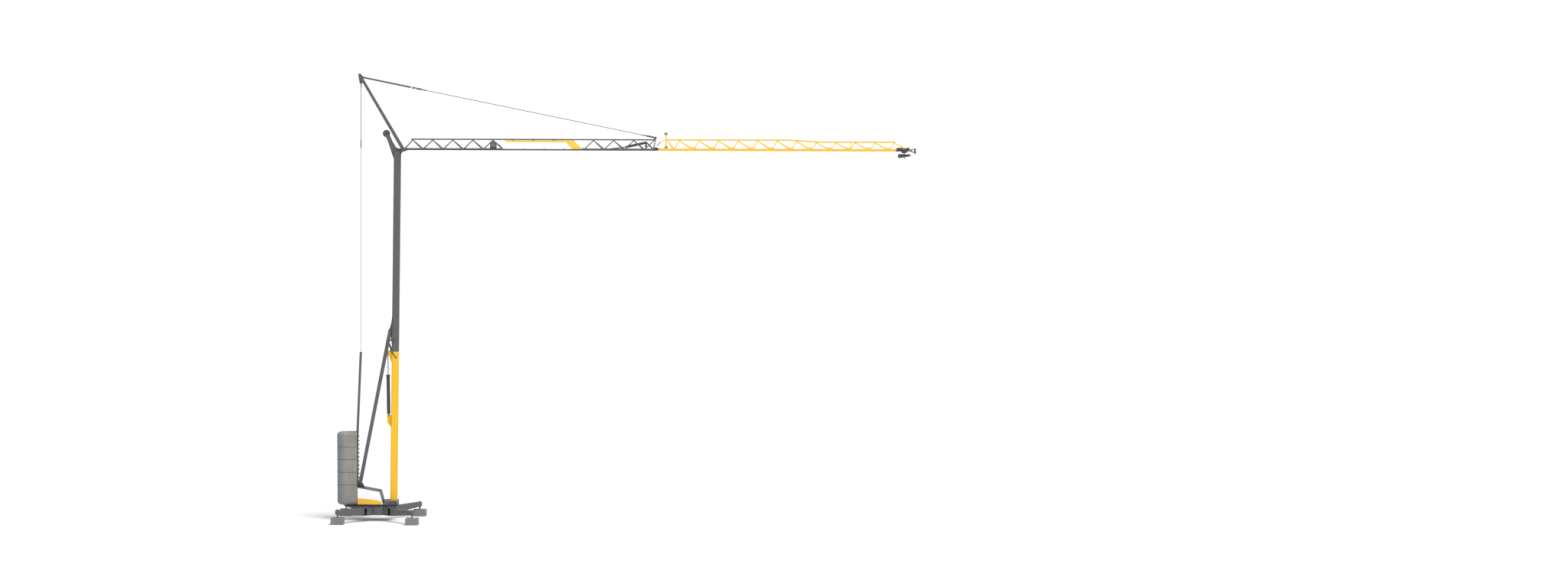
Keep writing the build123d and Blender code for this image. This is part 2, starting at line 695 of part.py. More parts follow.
def mast_strut():
    """The long strut behind the mast: two box legs with spacers, pinned to the gusset above and the shoe below,
    and bored for the knee pin of the folding links."""
    outer = STRUT_HALF_GAP + STRUT_LEG
    middle = (STRUT_HALF_GAP + outer) / 2
    foot, head = (STRUT_FOOT_X, STRUT_FOOT_Z), (STRUT_HEAD_X, STRUT_HEAD_Z)
    pieces = []
    for y in (-middle, middle):
        pieces.append(beam((foot[0], y, foot[1]), (head[0], y, head[1]), (0, 1, 0), STRUT_LEG, STRUT_WIDTH, STRUT_WALL))
        for x, z in (foot, head):
            pieces.append(disc(x, z, STRUT_WIDTH / 2, y - STRUT_LEG / 2, y + STRUT_LEG / 2))
    for x, z in (foot, head):
        pieces.append(disc(x, z, AXLE_RADIUS, -outer - AXLE_PROUD, outer + AXLE_PROUD))
    for share in STRUT_SPACERS:
        x = foot[0] + share * (head[0] - foot[0])
        z = foot[1] + share * (head[1] - foot[1])
        pieces.append(disc(x, z, SPACER_RADIUS, -STRUT_HALF_GAP, STRUT_HALF_GAP))
    return join(pieces) - pin_bore(KNEE_X, KNEE_Z, AXLE_RADIUS)


def strut_shoe():
    """The bracket on the housing roof that takes the foot of the long strut."""
    outer = STRUT_HALF_GAP - LUG_GAP
    x, z = STRUT_FOOT_X, STRUT_FOOT_Z
    rear, front = CABINET_REAR + LUG_GAP, SHOE_FRONT_X
    skin = COVER_THICK + 2 * SEAT
    outline = [(rear, roof_z(rear) + skin), (front, roof_z(front) + skin), (x + 2.8 * EYE_RADIUS, z + EYE_RADIUS),
               (rear, z + EYE_RADIUS)]
    sole = [(rear, roof_z(rear) + skin), (front, roof_z(front) + skin), (front, roof_z(front) + skin + SHOE_PLATE),
            (rear, roof_z(rear) + skin + SHOE_PLATE)]
    cheeks = pair(outline, outer - SHOE_PLATE, outer)
    return join([*cheeks, slab(sole, SHOE_PLATE / 2 - outer, outer - SHOE_PLATE / 2)]) - pin_bore(x, z, AXLE_RADIUS)


def roof_z(x):
    """Height of the housing roof."""
    fall = (CABINET_HIGH_REAR - CABINET_HIGH_FRONT) / (CABINET_TOP_FRONT - CABINET_REAR)
    return CABINET_HIGH_REAR - fall * (x - CABINET_REAR)


def cylinder_line(z):
    """A point on the folding cylinder's axis at a height."""
    share = (z - CYLINDER_FOOT_Z) / (CYLINDER_ROD_TOP_Z - CYLINDER_FOOT_Z)
    return (CYLINDER_FOOT_X + share * (CYLINDER_ROD_TOP_X - CYLINDER_FOOT_X), 0, z)


def fold_cylinder_barrel():
    """The barrel with its foot eye, its gland and the bore that takes the rod."""
    foot = CYLINDER_FOOT_Z + CYLINDER_RADIUS
    top = CYLINDER_TOP_Z
    barrel = round_bar(cylinder_line(foot), cylinder_line(top), CYLINDER_RADIUS)
    eye = disc(CYLINDER_FOOT_X, CYLINDER_FOOT_Z, EYE_RADIUS, -LINK_INNER, LINK_INNER)
    neck = round_bar(cylinder_line(CYLINDER_FOOT_Z), cylinder_line(foot + LUG_GAP), LINK_INNER - LUG_GAP)
    proud = LINK_INNER + LUG_GAP + LINK_THICK + AXLE_PROUD
    pin = disc(CYLINDER_FOOT_X, CYLINDER_FOOT_Z, AXLE_RADIUS, -proud, proud)
    gland = round_bar(cylinder_line(top - LINK_DEPTH), cylinder_line(top + LINK_DEPTH / 2), CYLINDER_RADIUS + LINK_THICK)
    bore = round_bar(cylinder_line(top - 200), cylinder_line(top + LINK_DEPTH), CYLINDER_ROD_RADIUS + SEAT)
    return barrel + neck + eye + pin + gland - bore


def fold_cylinder_rod():
    """The bright rod, whose eye takes the foot of the links."""
    x, z = CYLINDER_ROD_TOP_X, CYLINDER_ROD_TOP_Z
    rod = round_bar(cylinder_line(CYLINDER_TOP_Z - 190), (x, 0, z), CYLINDER_ROD_RADIUS)
    proud = LINK_INNER + LINK_THICK + AXLE_PROUD
    return rod + disc(x, z, EYE_RADIUS, -LINK_INNER + LUG_GAP, LINK_INNER - LUG_GAP) + disc(x, z, AXLE_RADIUS, -proud, proud)


def fold_links():
    """Link plates in pairs: from the rod's eye up to the knee, from the knee down to the lower length and across
    to the upper one, and the latch bar over the joint between the two lengths."""
    knee, rod = (KNEE_X, KNEE_Z), (CYLINDER_ROD_TOP_X, CYLINDER_ROD_TOP_Z)
    lower, upper = (LOWER_PIN_X, LOWER_PIN_Z), (UPPER_PIN_X, UPPER_PIN_Z)
    latch_top, latch_foot = (LATCH_TOP_X, LATCH_TOP_Z), (LATCH_FOOT_X, LATCH_FOOT_Z)
    outer = LINK_OUTER + LINK_THICK
    pieces = [disc(*knee, AXLE_RADIUS, -outer, outer)]
    pieces += pair_links(rod, knee, LINK_DEPTH, LINK_INNER, LINK_INNER + LINK_THICK)
    for start, end in ((knee, lower), (knee, upper), (latch_top, latch_foot)):
        pieces += pair_links(start, end, LINK_DEPTH, LINK_OUTER, outer)
    face = MAST_SIDE / 2 + SEAT
    for x, z in (lower, upper, latch_foot):
        pieces += [disc(x, z, AXLE_RADIUS, -LINK_OUTER, -face), disc(x, z, AXLE_RADIUS, face, LINK_OUTER)]
    return join(pieces) - pin_bore(*rod, AXLE_RADIUS)


# Jib

def jib_top_z(x):
    """Centre height of the top chord, which steps down a little on the outer length."""
    if x <= TAPER_FROM:
        return TOP_CHORD_Z
    low = JIB_Z + JIB_TIP_DEPTH
    if x >= TAPER_TO:
        return low
    return TOP_CHORD_Z - (x - TAPER_FROM) / (TAPER_TO - TAPER_FROM) * (TOP_CHORD_Z - low)


def top_chord(stations):
    """The single upper chord, a square tube that follows the stations."""
    half = CHORD / 2
    core = half - CHORD_WALL
    shapes = []
    for rise in (half, core):
        upper = [(x, jib_top_z(x) + rise) for x in stations]
        lower = [(x, jib_top_z(x) - rise) for x in reversed(stations)]
        shapes.append(slab(upper + lower, -rise, rise))
    return shapes[0] - shapes[1]


def lattice_end(side, x, upper):
    """Where a lattice bar meets the top chord or a bottom chord, on one side of the jib."""
    if upper:
        return Vector(x, side * APEX_HALF_GAUGE, jib_top_z(x) - CHORD / 2)
    return Vector(x, side * JIB_HALF_GAUGE, JIB_Z)


def side_lattice(side, start, end, bars, stations):
    """One leaning side: its bottom chord and rail, and angle bars from the bottom chord up to the top chord."""
    half = CHORD / 2
    y = side * JIB_HALF_GAUGE
    frame = block(start, end, y - half, y + half, JIB_Z - half, JIB_Z + half)
    angles = []
    for bottom_x, top_x in bars:
        low = lattice_end(side, bottom_x, False)
        high = lattice_end(side, top_x, True)
        along = high - low
        high = high + along.normalized() * CHORD
        normal = Vector(0, -side * along.Z, side * along.Y).normalized()
        across = normal.cross(along).normalized()
        angles.append(angle_bar(tuple(low), tuple(high), tuple(across), ANGLE_LEG, ANGLE_FOOT, ANGLE_WALL))
    frame = frame.fuse(*angles)
    above = [(x, jib_top_z(x) - half) for x in stations]
    rear, front = stations[0] - JIB_DEPTH, stations[-1] + JIB_DEPTH
    high = TOP_CHORD_Z + JIB_DEPTH
    over = slab([(rear, above[0][1])] + above + [(front, above[-1][1]), (front, high), (rear, high)],
                -JIB_HALF_GAUGE, JIB_HALF_GAUGE)
    core = half - CHORD_WALL
    frame = frame - over - block(start - 1, end + 1, y - core, y + core, JIB_Z - core, JIB_Z + core)
    rail0, rail1 = sorted((y + side * half, y + side * (half + RAIL_WIDTH)))
    return frame + block(start, end, rail0, rail1, JIB_Z - half, JIB_Z - half + RAIL_THICK)


def root_gusset(side):
    """The tapering plate under a bottom chord at the jib's pivot."""
    low = JIB_Z - CHORD / 2
    rear = PIVOT_X - CHORD
    outline = [(rear, low), (rear, low - ROOT_GUSSET_DEEP), (rear + CHORD / 2, low - ROOT_GUSSET_DEEP),
               (rear + ROOT_GUSSET_LONG, low)]
    y = side * JIB_HALF_GAUGE
    return slab(outline, y - ROOT_GUSSET_THICK / 2, y + ROOT_GUSSET_THICK / 2)


def zigzag(nodes):
    """Bottom and top ends of the bars that run through the nodes in turn."""
    return [(x1, x0) if upper0 else (x0, x1) for (x0, upper0), (x1, upper1) in zip(nodes, nodes[1:])]


def floor_lattice(start, stations, end):
    """Flat bars that zigzag between the bottom chords, with a square bar at each end."""
    inner = JIB_HALF_GAUGE - CHORD / 2
    middle = (FLOOR_LOW + FLOOR_HIGH) / 2
    pieces = [block(x, x + FLOOR_BAR, -inner, inner, FLOOR_LOW, FLOOR_HIGH) for x in (start, end - FLOOR_BAR)]
    y = -JIB_HALF_GAUGE
    for x0, x1 in zip(stations, stations[1:]):
        pieces.append(beam((x0, y, middle), (x1, -y, middle), (0, 0, 1), FLOOR_BAR_THICK, FLOOR_BAR))
        y = -y
    floor = pieces[0].fuse(*pieces[1:])
    return floor & block(start - 1, end + 1, -inner, inner, FLOOR_LOW - CHORD, FLOOR_HIGH + CHORD)


def inner_jib():
    """The inner length: two leaning sides with their chords, the top chord and the floor."""
    first_top = PIVOT_X + INNER_FIRST_RISE
    nodes = []
    for bay in range(INNER_BAYS + 1):
        nodes.append((PIVOT_X + INNER_PITCH * bay + (ROOT_NODE_SHIFT if bay == 0 else 0), False))
        nodes.append((first_top + INNER_PITCH * bay, True))
    stations = [first_top - INNER_TOP_LEAD, INNER_END]
    for side, name in ((-1, "near"), (1, "far")):
        lattice = side_lattice(side, PIVOT_X - CHORD, INNER_END, zigzag(nodes), stations)
        write(f"inner_jib_{name}_side", lattice + root_gusset(side))
    write("inner_jib_top_chord", top_chord(stations))
    bottom = [x for x, upper in nodes if not upper]
    start = PIVOT_X + 2 * EAR_RADIUS
    write("inner_jib_floor", floor_lattice(start, [start + FLOOR_BAR / 2] + bottom[1:], INNER_END))


def outer_jib():
    """The outer length: its first bar starts at the hinge post, and one upright stands part of the way along."""
    first_bottom = OUTER_FIRST_TOP + OUTER_FALL_RUN - OUTER_PITCH
    nodes = [(OUTER_TOP_START + ANGLE_LEG, True), (first_bottom, False)]
    for bay in range(OUTER_BAYS + 1):
        nodes.append((OUTER_FIRST_TOP + OUTER_PITCH * bay, True))
        nodes.append((OUTER_FIRST_TOP + OUTER_FALL_RUN + OUTER_PITCH * bay, False))
    last_top = nodes[-2][0]
    stations = [OUTER_TOP_START, TAPER_FROM, TAPER_TO, last_top + CHORD / 2]
    bars = zigzag(nodes) + [(OUTER_POST_X, OUTER_POST_X)]
    for side, name in ((-1, "near"), (1, "far")):
        write(f"outer_jib_{name}_side", side_lattice(side, OUTER_START, CHORD_END, bars, stations))
    write("outer_jib_top_chord", top_chord(stations))
    bottom = [x for x, upper in nodes if not upper]
    start = OUTER_TOP_START + FLOOR_BAR / 2
    write("outer_jib_floor", floor_lattice(start, [start + FLOOR_BAR / 2] + bottom[1:], CHORD_END))


def jib_root_shaft():
    """The cross shaft that the jib and its strut turn on, between the bottom chords."""
    inner = JIB_HALF_GAUGE - CHORD / 2
    return disc(PIVOT_X, JIB_Z, PIVOT_RADIUS, -inner, inner)


def cross_frame(x, top_x, inner, thick):
    """A triangular frame between the three chords. Its top may stand further along the jib than its foot."""
    half = CHORD / 2
    top = TOP_CHORD_Z - half
    low = JIB_Z + half
    lean = (top_x - x) / (top - low)
    sill = low + FRAME_BAR
    head = top - 1.5 * FRAME_BAR
    plate = Wire.make_polygon([(x, -inner, low), (x, inner, low), (top_x, half, top), (top_x, -half, top)])
    hole = Wire.make_polygon([(x + lean * FRAME_BAR, -inner + 1.6 * FRAME_BAR, sill),
                              (x + lean * FRAME_BAR, inner - 1.6 * FRAME_BAR, sill),
                              (x + lean * (head - low), 0, head)])
    return Solid.extrude(Face(plate, [hole]), Vector(thick, 0, 0))


def outer_hinge_frame():
    """The post at the fold joint with its two guide sheaves, and the brace from the joint up to the post."""
    deep, radius = HINGE_POST_DEEP, HINGE_SHEAVE_RADIUS
    x = HINGE_POST_X + deep / 2
    inner = HINGE_SHEAVE_THICK / 2 + SEAT
    outer = inner + HEAD_PLATE_THICK
    low, high = JIB_Z + HINGE_SHEAVE_LOW, JIB_Z + HINGE_SHEAVE_HIGH
    half = CHORD / 2
    top = TOP_CHORD_Z + half
    fork = [(HINGE_POST_X, top), (HINGE_POST_X + deep, top), (HINGE_POST_X + deep, high + deep),
            (HINGE_POST_X, high + deep)]
    cap = block(HINGE_POST_X, HINGE_POST_X + deep, -half, half, TOP_CHORD_Z - half, top)
    stem = block(HINGE_POST_X, HINGE_POST_X + deep, -outer, outer, top, high - radius - 2 * LUG_GAP)
    sill = JIB_Z + half
    ears = [(HINGE_POST_X, sill), (HINGE_POST_X + deep, sill), (HINGE_POST_X + deep, low + deep / 2),
            (HINGE_POST_X, low + deep / 2)]
    frame = cross_frame(HINGE_POST_X, HINGE_POST_X, JIB_HALF_GAUGE - half, deep)
    room = disc(x, low, radius + LUG_GAP, -inner, inner)
    frame = join([frame - room, cap, stem, *pair(fork, inner, outer), *pair(ears, inner, outer)])
    brace_top = TOP_CHORD_Z - half / 2
    brace = join(pair([(BRACE_FOOT_X, JIB_Z + BRACE_FOOT_RISE), (BRACE_FOOT_X + BRACE_BAR, JIB_Z + BRACE_FOOT_RISE - 14),
                       (BRACE_TOP_X, brace_top - half), (HINGE_POST_X, brace_top - half), (HINGE_POST_X, brace_top),
                       (BRACE_TOP_X - BRACE_BAR / 2, brace_top)], outer, half))
    wheels = []
    for z in (low, high):
        wheels.append(sheave(x, z, radius, HINGE_SHEAVE_THICK) + disc(x, z, AXLE_RADIUS, -outer - LUG_GAP, outer + LUG_GAP))
        frame = frame - pin_bore(x, z, AXLE_RADIUS)
    tie = block(BRACE_FOOT_X, BRACE_FOOT_X + BRACE_BAR, -half, half, JIB_Z + BRACE_FOOT_RISE - BRACE_BAR,
                JIB_Z + BRACE_FOOT_RISE)
    return frame + brace + tie, *wheels


def fold_lever():
    """The jib's fold cylinder on the inner floor, its standing link and the lever down to the fold joint."""
    foot = (LEVER_FOOT_X, 0, JIB_Z + FLOOR_BAR_THICK)
    knee = (LEVER_KNEE_X, 0, JIB_Z + LEVER_KNEE_RISE)
    front = (LEVER_FRONT_X, 0, JIB_Z + LEVER_FRONT_RISE)
    barrel = round_bar(knee, front, LEVER_BARREL_RADIUS)
    lever = round_bar(foot, knee, LEVER_ROD_RADIUS) + disc(knee[0], knee[2], EYE_RADIUS, -EYE_RADIUS, EYE_RADIUS) + barrel
    reach = JIB_HALF_GAUGE - CHORD / 2 - 2 * SEAT
    low = FLOOR_HIGH + SEAT
    half = FLOOR_BAR
    lever = lever + block(foot[0] - half, foot[0] + half, -reach, reach, low, foot[2])
    lever = lever + block(LEVER_POST_X - half, LEVER_POST_X + half, -reach, reach, low, foot[2])
    inner = LEVER_BARREL_RADIUS + LUG_GAP
    bulge = front[2] - 3 * LINK_DEPTH
    pieces = [lever]
    for side in (-1, 1):
        y0, y1 = sorted((side * inner, side * (inner + LINK_THICK)))
        pieces.append(flat_bar((LEVER_POST_X, low), (LEVER_FRONT_X, front[2]), LINK_DEPTH, y0, y1))
        pieces.append(disc(LEVER_POST_X + LINK_DEPTH / 3, bulge, LINK_DEPTH, y0, y1))
        pieces.append(link((LEVER_FRONT_X, front[2]), (LEVER_TOE_X, JIB_Z + LEVER_TOE_RISE), LINK_DEPTH, y0, y1))
    outer = inner + LINK_THICK
    pieces.append(disc(LEVER_FRONT_X, front[2], AXLE_RADIUS, -outer, outer))
    pieces.append(disc(LEVER_TOE_X, JIB_Z + LEVER_TOE_RISE, AXLE_RADIUS, -outer, outer))
    return join(pieces)


def fold_hinge():
    """On each side, the knuckle that closes the gap between the chord ends, and its plate inside the chords."""
    half = CHORD / 2
    rear, front = INNER_END + SEAT, OUTER_START - SEAT
    inner = JIB_HALF_GAUGE - half
    plate = [(HINGE_PLATE_REAR, FLOOR_HIGH + SEAT), (HINGE_PLATE_FRONT, FLOOR_HIGH + SEAT), (HINGE_PLATE_FRONT, JIB_Z + half),
             (HINGE_PIN_X + half, JIB_Z + 3 * half), (HINGE_PIN_X - half, JIB_Z + 3 * half), (HINGE_PLATE_REAR, JIB_Z + half)]
    pieces = []
    for side in (-1, 1):
        y = side * JIB_HALF_GAUGE
        knuckle = block(rear, front, y - half, y + half, JIB_Z - half, JIB_Z + half)
        rail0, rail1 = sorted((y + side * half, y + side * (half + RAIL_WIDTH)))
        rail = block(rear, front, rail0, rail1, JIB_Z - half, JIB_Z - half + RAIL_THICK)
        y0, y1 = sorted((side * (inner - SEAT), side * (inner - HINGE_PLATE_THICK)))
        bridge0, bridge1 = sorted((side * inner, side * (inner - HINGE_PLATE_THICK)))
        web = block(rear, front, bridge0, bridge1, FLOOR_HIGH + SEAT, JIB_Z + half)
        boss0, boss1 = sorted((side * (inner - HINGE_PLATE_THICK), side * (inner - 2 * HINGE_PLATE_THICK)))
        pin = disc(HINGE_PIN_X, JIB_Z + half, AXLE_RADIUS, boss0, boss1)
        pieces.append(join([knuckle, rail, slab(plate, y0, y1), web, pin]))
    return pieces


def top_strut():
    """A pair of box legs from the jib shaft that close to a head with the stay and guy eyes."""
    foot, head = (PIVOT_X, JIB_Z), (STRUT_TIP_X, STRUT_TIP_Z)
    pieces = []
    for side in (-1, 1):
        y = side * TOP_STRUT_FOOT_GAUGE
        pieces.append(beam((foot[0], y, foot[1]), (head[0], side * TOP_STRUT_HEAD_GAUGE, head[1]), (0, 1, 0),
                           TOP_STRUT_DEPTH, TOP_STRUT_WIDTH, STRUT_WALL))
        pieces.append(disc(*foot, TOP_STRUT_EYE, y - TOP_STRUT_DEPTH / 2, y + TOP_STRUT_DEPTH / 2))
    legs = join(pieces) - pin_bore(*foot, PIVOT_RADIUS)
    for share in TOP_STRUT_SPACERS:
        x = foot[0] + share * (head[0] - foot[0])
        z = foot[1] + share * (head[1] - foot[1])
        y = TOP_STRUT_FOOT_GAUGE + share * (TOP_STRUT_HEAD_GAUGE - TOP_STRUT_FOOT_GAUGE)
        legs = legs + disc(x, z, SPACER_RADIUS, -y, y)
    half = TOP_STRUT_HEAD_GAUGE
    r = EAR_RADIUS
    outline = [(head[0] - r, head[1]), (head[0] - r / 2, head[1] + r), (head[0] + r / 2, head[1] + r),
               (STAY_HEAD_X + r, STAY_HEAD_Z + r / 2), (STAY_HEAD_X + r, STAY_HEAD_Z - r),
               (GUY_HEAD_X + r, GUY_HEAD_Z - r), (GUY_HEAD_X - r, GUY_HEAD_Z - r)]
    plates = pair(outline, half, half + SHOE_PLATE)
    return join([legs, *plates]) - pin_bore(STAY_HEAD_X, STAY_HEAD_Z, AXLE_RADIUS)


def stay_point(x):
    """A point of the stay's straight line."""
    share = (x - STAY_HEAD_X) / (STAY_FOOT_X - STAY_HEAD_X)
    return (x, 0, STAY_HEAD_Z + share * (STAY_FOOT_Z - STAY_HEAD_Z))


def stay_bars():
    """The flat bar at the strut with its slotted coupling, and the short link at the jib."""
    half = STAY_BAR_THICK / 2
    proud = TOP_STRUT_HEAD_GAUGE + SHOE_PLATE + AXLE_PROUD
    upper = beam(stay_point(STAY_HEAD_X), stay_point(STAY_BAR_END_X), (0, 1, 0), STAY_BAR_THICK, STAY_BAR)
    upper = upper + disc(STAY_HEAD_X, STAY_HEAD_Z, STAY_BAR / 2, -half, half)
    upper = upper + disc(STAY_HEAD_X, STAY_HEAD_Z, AXLE_RADIUS, -proud, proud)
    coupling = beam(stay_point(STAY_BAR_END_X), stay_point(STAY_COUPLING_END_X), (0, 1, 0), STAY_COUPLING_THICK, STAY_BAR)
    for x, long in ((STAY_BAR_END_X + STAY_BAR * 0.9, STAY_BAR), (STAY_BAR_END_X + STAY_BAR * 3.4, STAY_BAR / 2)):
        coupling = coupling - beam(stay_point(x - long / 2), stay_point(x + long / 2), (0, 1, 0), STAY_BAR, STAY_BAR / 2)
    lower = beam(stay_point(STAY_LINK_X), stay_point(STAY_FOOT_X), (0, 1, 0), STAY_BAR_THICK, STAY_BAR)
    lower = lower + disc(STAY_FOOT_X, STAY_FOOT_Z, STAY_BAR / 2, -half, half)
    return upper + coupling, lower - pin_bore(STAY_FOOT_X, STAY_FOOT_Z, LINK_PIN_RADIUS)


def stay_rope():
    """The steel cable between the coupling and the link."""
    return round_bar(stay_point(STAY_COUPLING_END_X + SEAT), stay_point(STAY_LINK_X - SEAT), STAY_ROPE_RADIUS)


def inner_end_frame():
    """The leaning end frame of the inner length, and the ears above the chord that take the stay's link."""
    top_x = INNER_END - END_FRAME_THICK
    inner = JIB_HALF_GAUGE - CHORD / 2 - HINGE_PLATE_THICK - SEAT
    frame = cross_frame(top_x - END_FRAME_LEAN, top_x, inner, END_FRAME_THICK)
    x, z, r = STAY_FOOT_X, STAY_FOOT_Z, EYE_RADIUS
    base = TOP_CHORD_Z + CHORD / 2 + SEAT
    inner = STAY_BAR_THICK / 2 + LUG_GAP
    ears = join(pair([(x - 2 * r, base), (x - SEAT, base), (x + r, z), (x, z + r), (x - r, z + r)], inner, inner + SHOE_PLATE))
    return frame, ears + disc(x, z, LINK_PIN_RADIUS, -inner - SHOE_PLATE, inner + SHOE_PLATE)


def jib_winch():
    """The trolley winch housing inside the jib: it follows the leaning sides and is rounded on top."""
    rear = WINCH_X - WINCH_LENGTH / 2
    low = FLOOR_HIGH + SEAT
    high = JIB_Z + WINCH_HEIGHT
    knee = low + CHORD

    def half_width(z):
        share = (z - JIB_Z) / (JIB_DEPTH - CHORD / 2)
        return JIB_HALF_GAUGE - share * (JIB_HALF_GAUGE - APEX_HALF_GAUGE) - WINCH_INSET

    wide, narrow = half_width(knee), half_width(high)
    outline = [(rear, -wide, low), (rear, wide, low), (rear, wide, knee), (rear, narrow, high), (rear, -narrow, high),
               (rear, -wide, knee)]
    outer = Solid.extrude(Face(Wire.make_polygon(outline)), Vector(WINCH_LENGTH, 0, 0))
    edges = ShapeList(e for e in outer.edges().filter_by(Axis.Y) if e.center().Z > high - 1)
    outer = fillet(edges, WINCH_LENGTH * 0.3)
    wall = WINCH_WALL
    return outer - block(rear + wall, rear + WINCH_LENGTH - wall, -narrow - WINCH_INSET, narrow + WINCH_INSET,
                         low - 1, low + WINCH_OPEN)


def sign_board():
    """A flat sign that leans on the diagonals of the near side, above its bottom chord."""
    run = JIB_HALF_GAUGE - APEX_HALF_GAUGE
    rise = JIB_DEPTH - CHORD / 2
    foot = (CHORD / 2 + SEAT) * hypot(run, rise) / rise
    face = Plane((SIGN_REAR, -JIB_HALF_GAUGE, JIB_Z), x_dir=(1, 0, 0), z_dir=(0, -rise, run))
    corner = face.from_local_coords(Vector(0, foot, SEAT))
    plane = Plane(corner, x_dir=(1, 0, 0), z_dir=(0, -rise, run))
    return Solid.make_box(SIGN_FRONT - SIGN_REAR, SIGN_HEIGHT, SIGN_THICK, plane)


def tip_frame():
    """The dark end of the jib: a bar across the chord ends, two open side plates and the end plate."""
    half = JIB_HALF_GAUGE + CHORD / 2
    chord = CHORD / 2
    front = TIP_END - TIP_PLATE
    side = [(CHORD_END, JIB_Z - chord), (front, JIB_Z - TIP_DROP), (front, JIB_Z + TIP_RISE), (CHORD_END, JIB_Z + chord)]
    hole = inset(side, (TIP_PLATE * 0.6, TIP_PLATE * 0.6, TIP_PLATE * 0.5, TIP_PLATE * 1.4))
    plates = join(pair(side, half - TIP_SIDE_THICK, half)) - slab(hole, -THROUGH, THROUGH)
    rear_bar = block(CHORD_END, CHORD_END + TIP_PLATE, -half, half, JIB_Z - chord, JIB_Z + chord)
    return plates + rear_bar + block(front, TIP_END, -half, half, JIB_Z - TIP_DROP - chord, JIB_Z + TIP_RISE)


# Guy

def guy_line(start, end, share):
    """A point part of the way along a straight piece of the guy."""
    return (start[0] + share * (end[0] - start[0]), 0, start[1] + share * (end[1] - start[1]))


GUY_ANCHOR = (GUY_ANCHOR_X, GUY_ANCHOR_Z)
GUY_KNEE = (GUY_KNEE_X, GUY_KNEE_Z)
GUY_HEAD = (GUY_HEAD_X, GUY_HEAD_Z)


def guy_rod():
    """The lower part of the rear guy: two deep flat bars, with the guide at their top that the rope runs through."""
    inner = GUY_BAR_HALF_GAP
    outer = inner + GUY_BAR_THICK
    pieces = [*pair_links(GUY_ANCHOR, GUY_KNEE, GUY_BAR_DEPTH, inner, outer)]
    for share in GUY_SPACERS:
        x, _, z = guy_line(GUY_ANCHOR, GUY_KNEE, share)
        pieces.append(disc(x, z, SPACER_RADIUS, -inner, inner))
    reach = GUY_GUIDE / 2 / (GUY_HEAD_Z - GUY_KNEE_Z)
    low, high = guy_line(GUY_KNEE, GUY_HEAD, -reach), guy_line(GUY_KNEE, GUY_HEAD, reach)
    pieces.append(beam(low, high, (0, 1, 0), 2 * inner, GUY_BAR_DEPTH * 0.7))
    pin = disc(*GUY_ANCHOR, AXLE_RADIUS, -outer - SHOE_PLATE, outer + SHOE_PLATE)
    low, high = guy_line(GUY_KNEE, GUY_HEAD, -2 * reach), guy_line(GUY_KNEE, GUY_HEAD, 2 * reach)
    return join([*pieces, pin]) - round_bar(low, high, GUY_ROPE_RADIUS + SEAT)


def guy_rope():
    """The rope from between the bars up to its coupling, and the cable from there to the strut head."""
    span = GUY_HEAD_Z - GUY_KNEE_Z
    low = guy_line(GUY_KNEE, GUY_HEAD, -GUY_ROPE_HIDDEN / span)
    coupling_low = guy_line(GUY_KNEE, GUY_HEAD, (GUY_SOCKET_LOW - GUY_KNEE_Z) / span)
    coupling_high = guy_line(GUY_KNEE, GUY_HEAD, (GUY_SOCKET_HIGH - GUY_KNEE_Z) / span)
    rope = round_bar(low, coupling_low, GUY_ROPE_RADIUS) + round_bar(coupling_low, coupling_high, GUY_SOCKET_RADIUS)
    rope = rope + round_bar(coupling_high, (GUY_HEAD_X, 0, GUY_HEAD_Z), GUY_CABLE_RADIUS)
    return rope + disc(*GUY_HEAD, EYE_RADIUS, -AXLE_RADIUS, AXLE_RADIUS)


def guy_anchor():
    """Post on the deck behind the housing with the two ears that hold the guy's foot."""
    x, z = GUY_ANCHOR
    r = EYE_RADIUS
    inner = GUY_BAR_HALF_GAP + GUY_BAR_THICK + LUG_GAP
    ears = pair([(x - 1.5 * r, TAIL_LOW), (x + 1.5 * r, TAIL_LOW), (x + 1.5 * r, z + r), (x - 1.5 * r, z + r)],
                inner, inner + SHOE_PLATE)
    reach = GIRDER_HALF_GAUGE - GIRDER_WIDTH / 2
    foot = block(x - 1.5 * r, x + 1.5 * r, -reach, reach, TAIL_LOW, TAIL_HIGH)
    return join([*ears, foot]) - pin_bore(x, z, AXLE_RADIUS)


# Trolley and hook

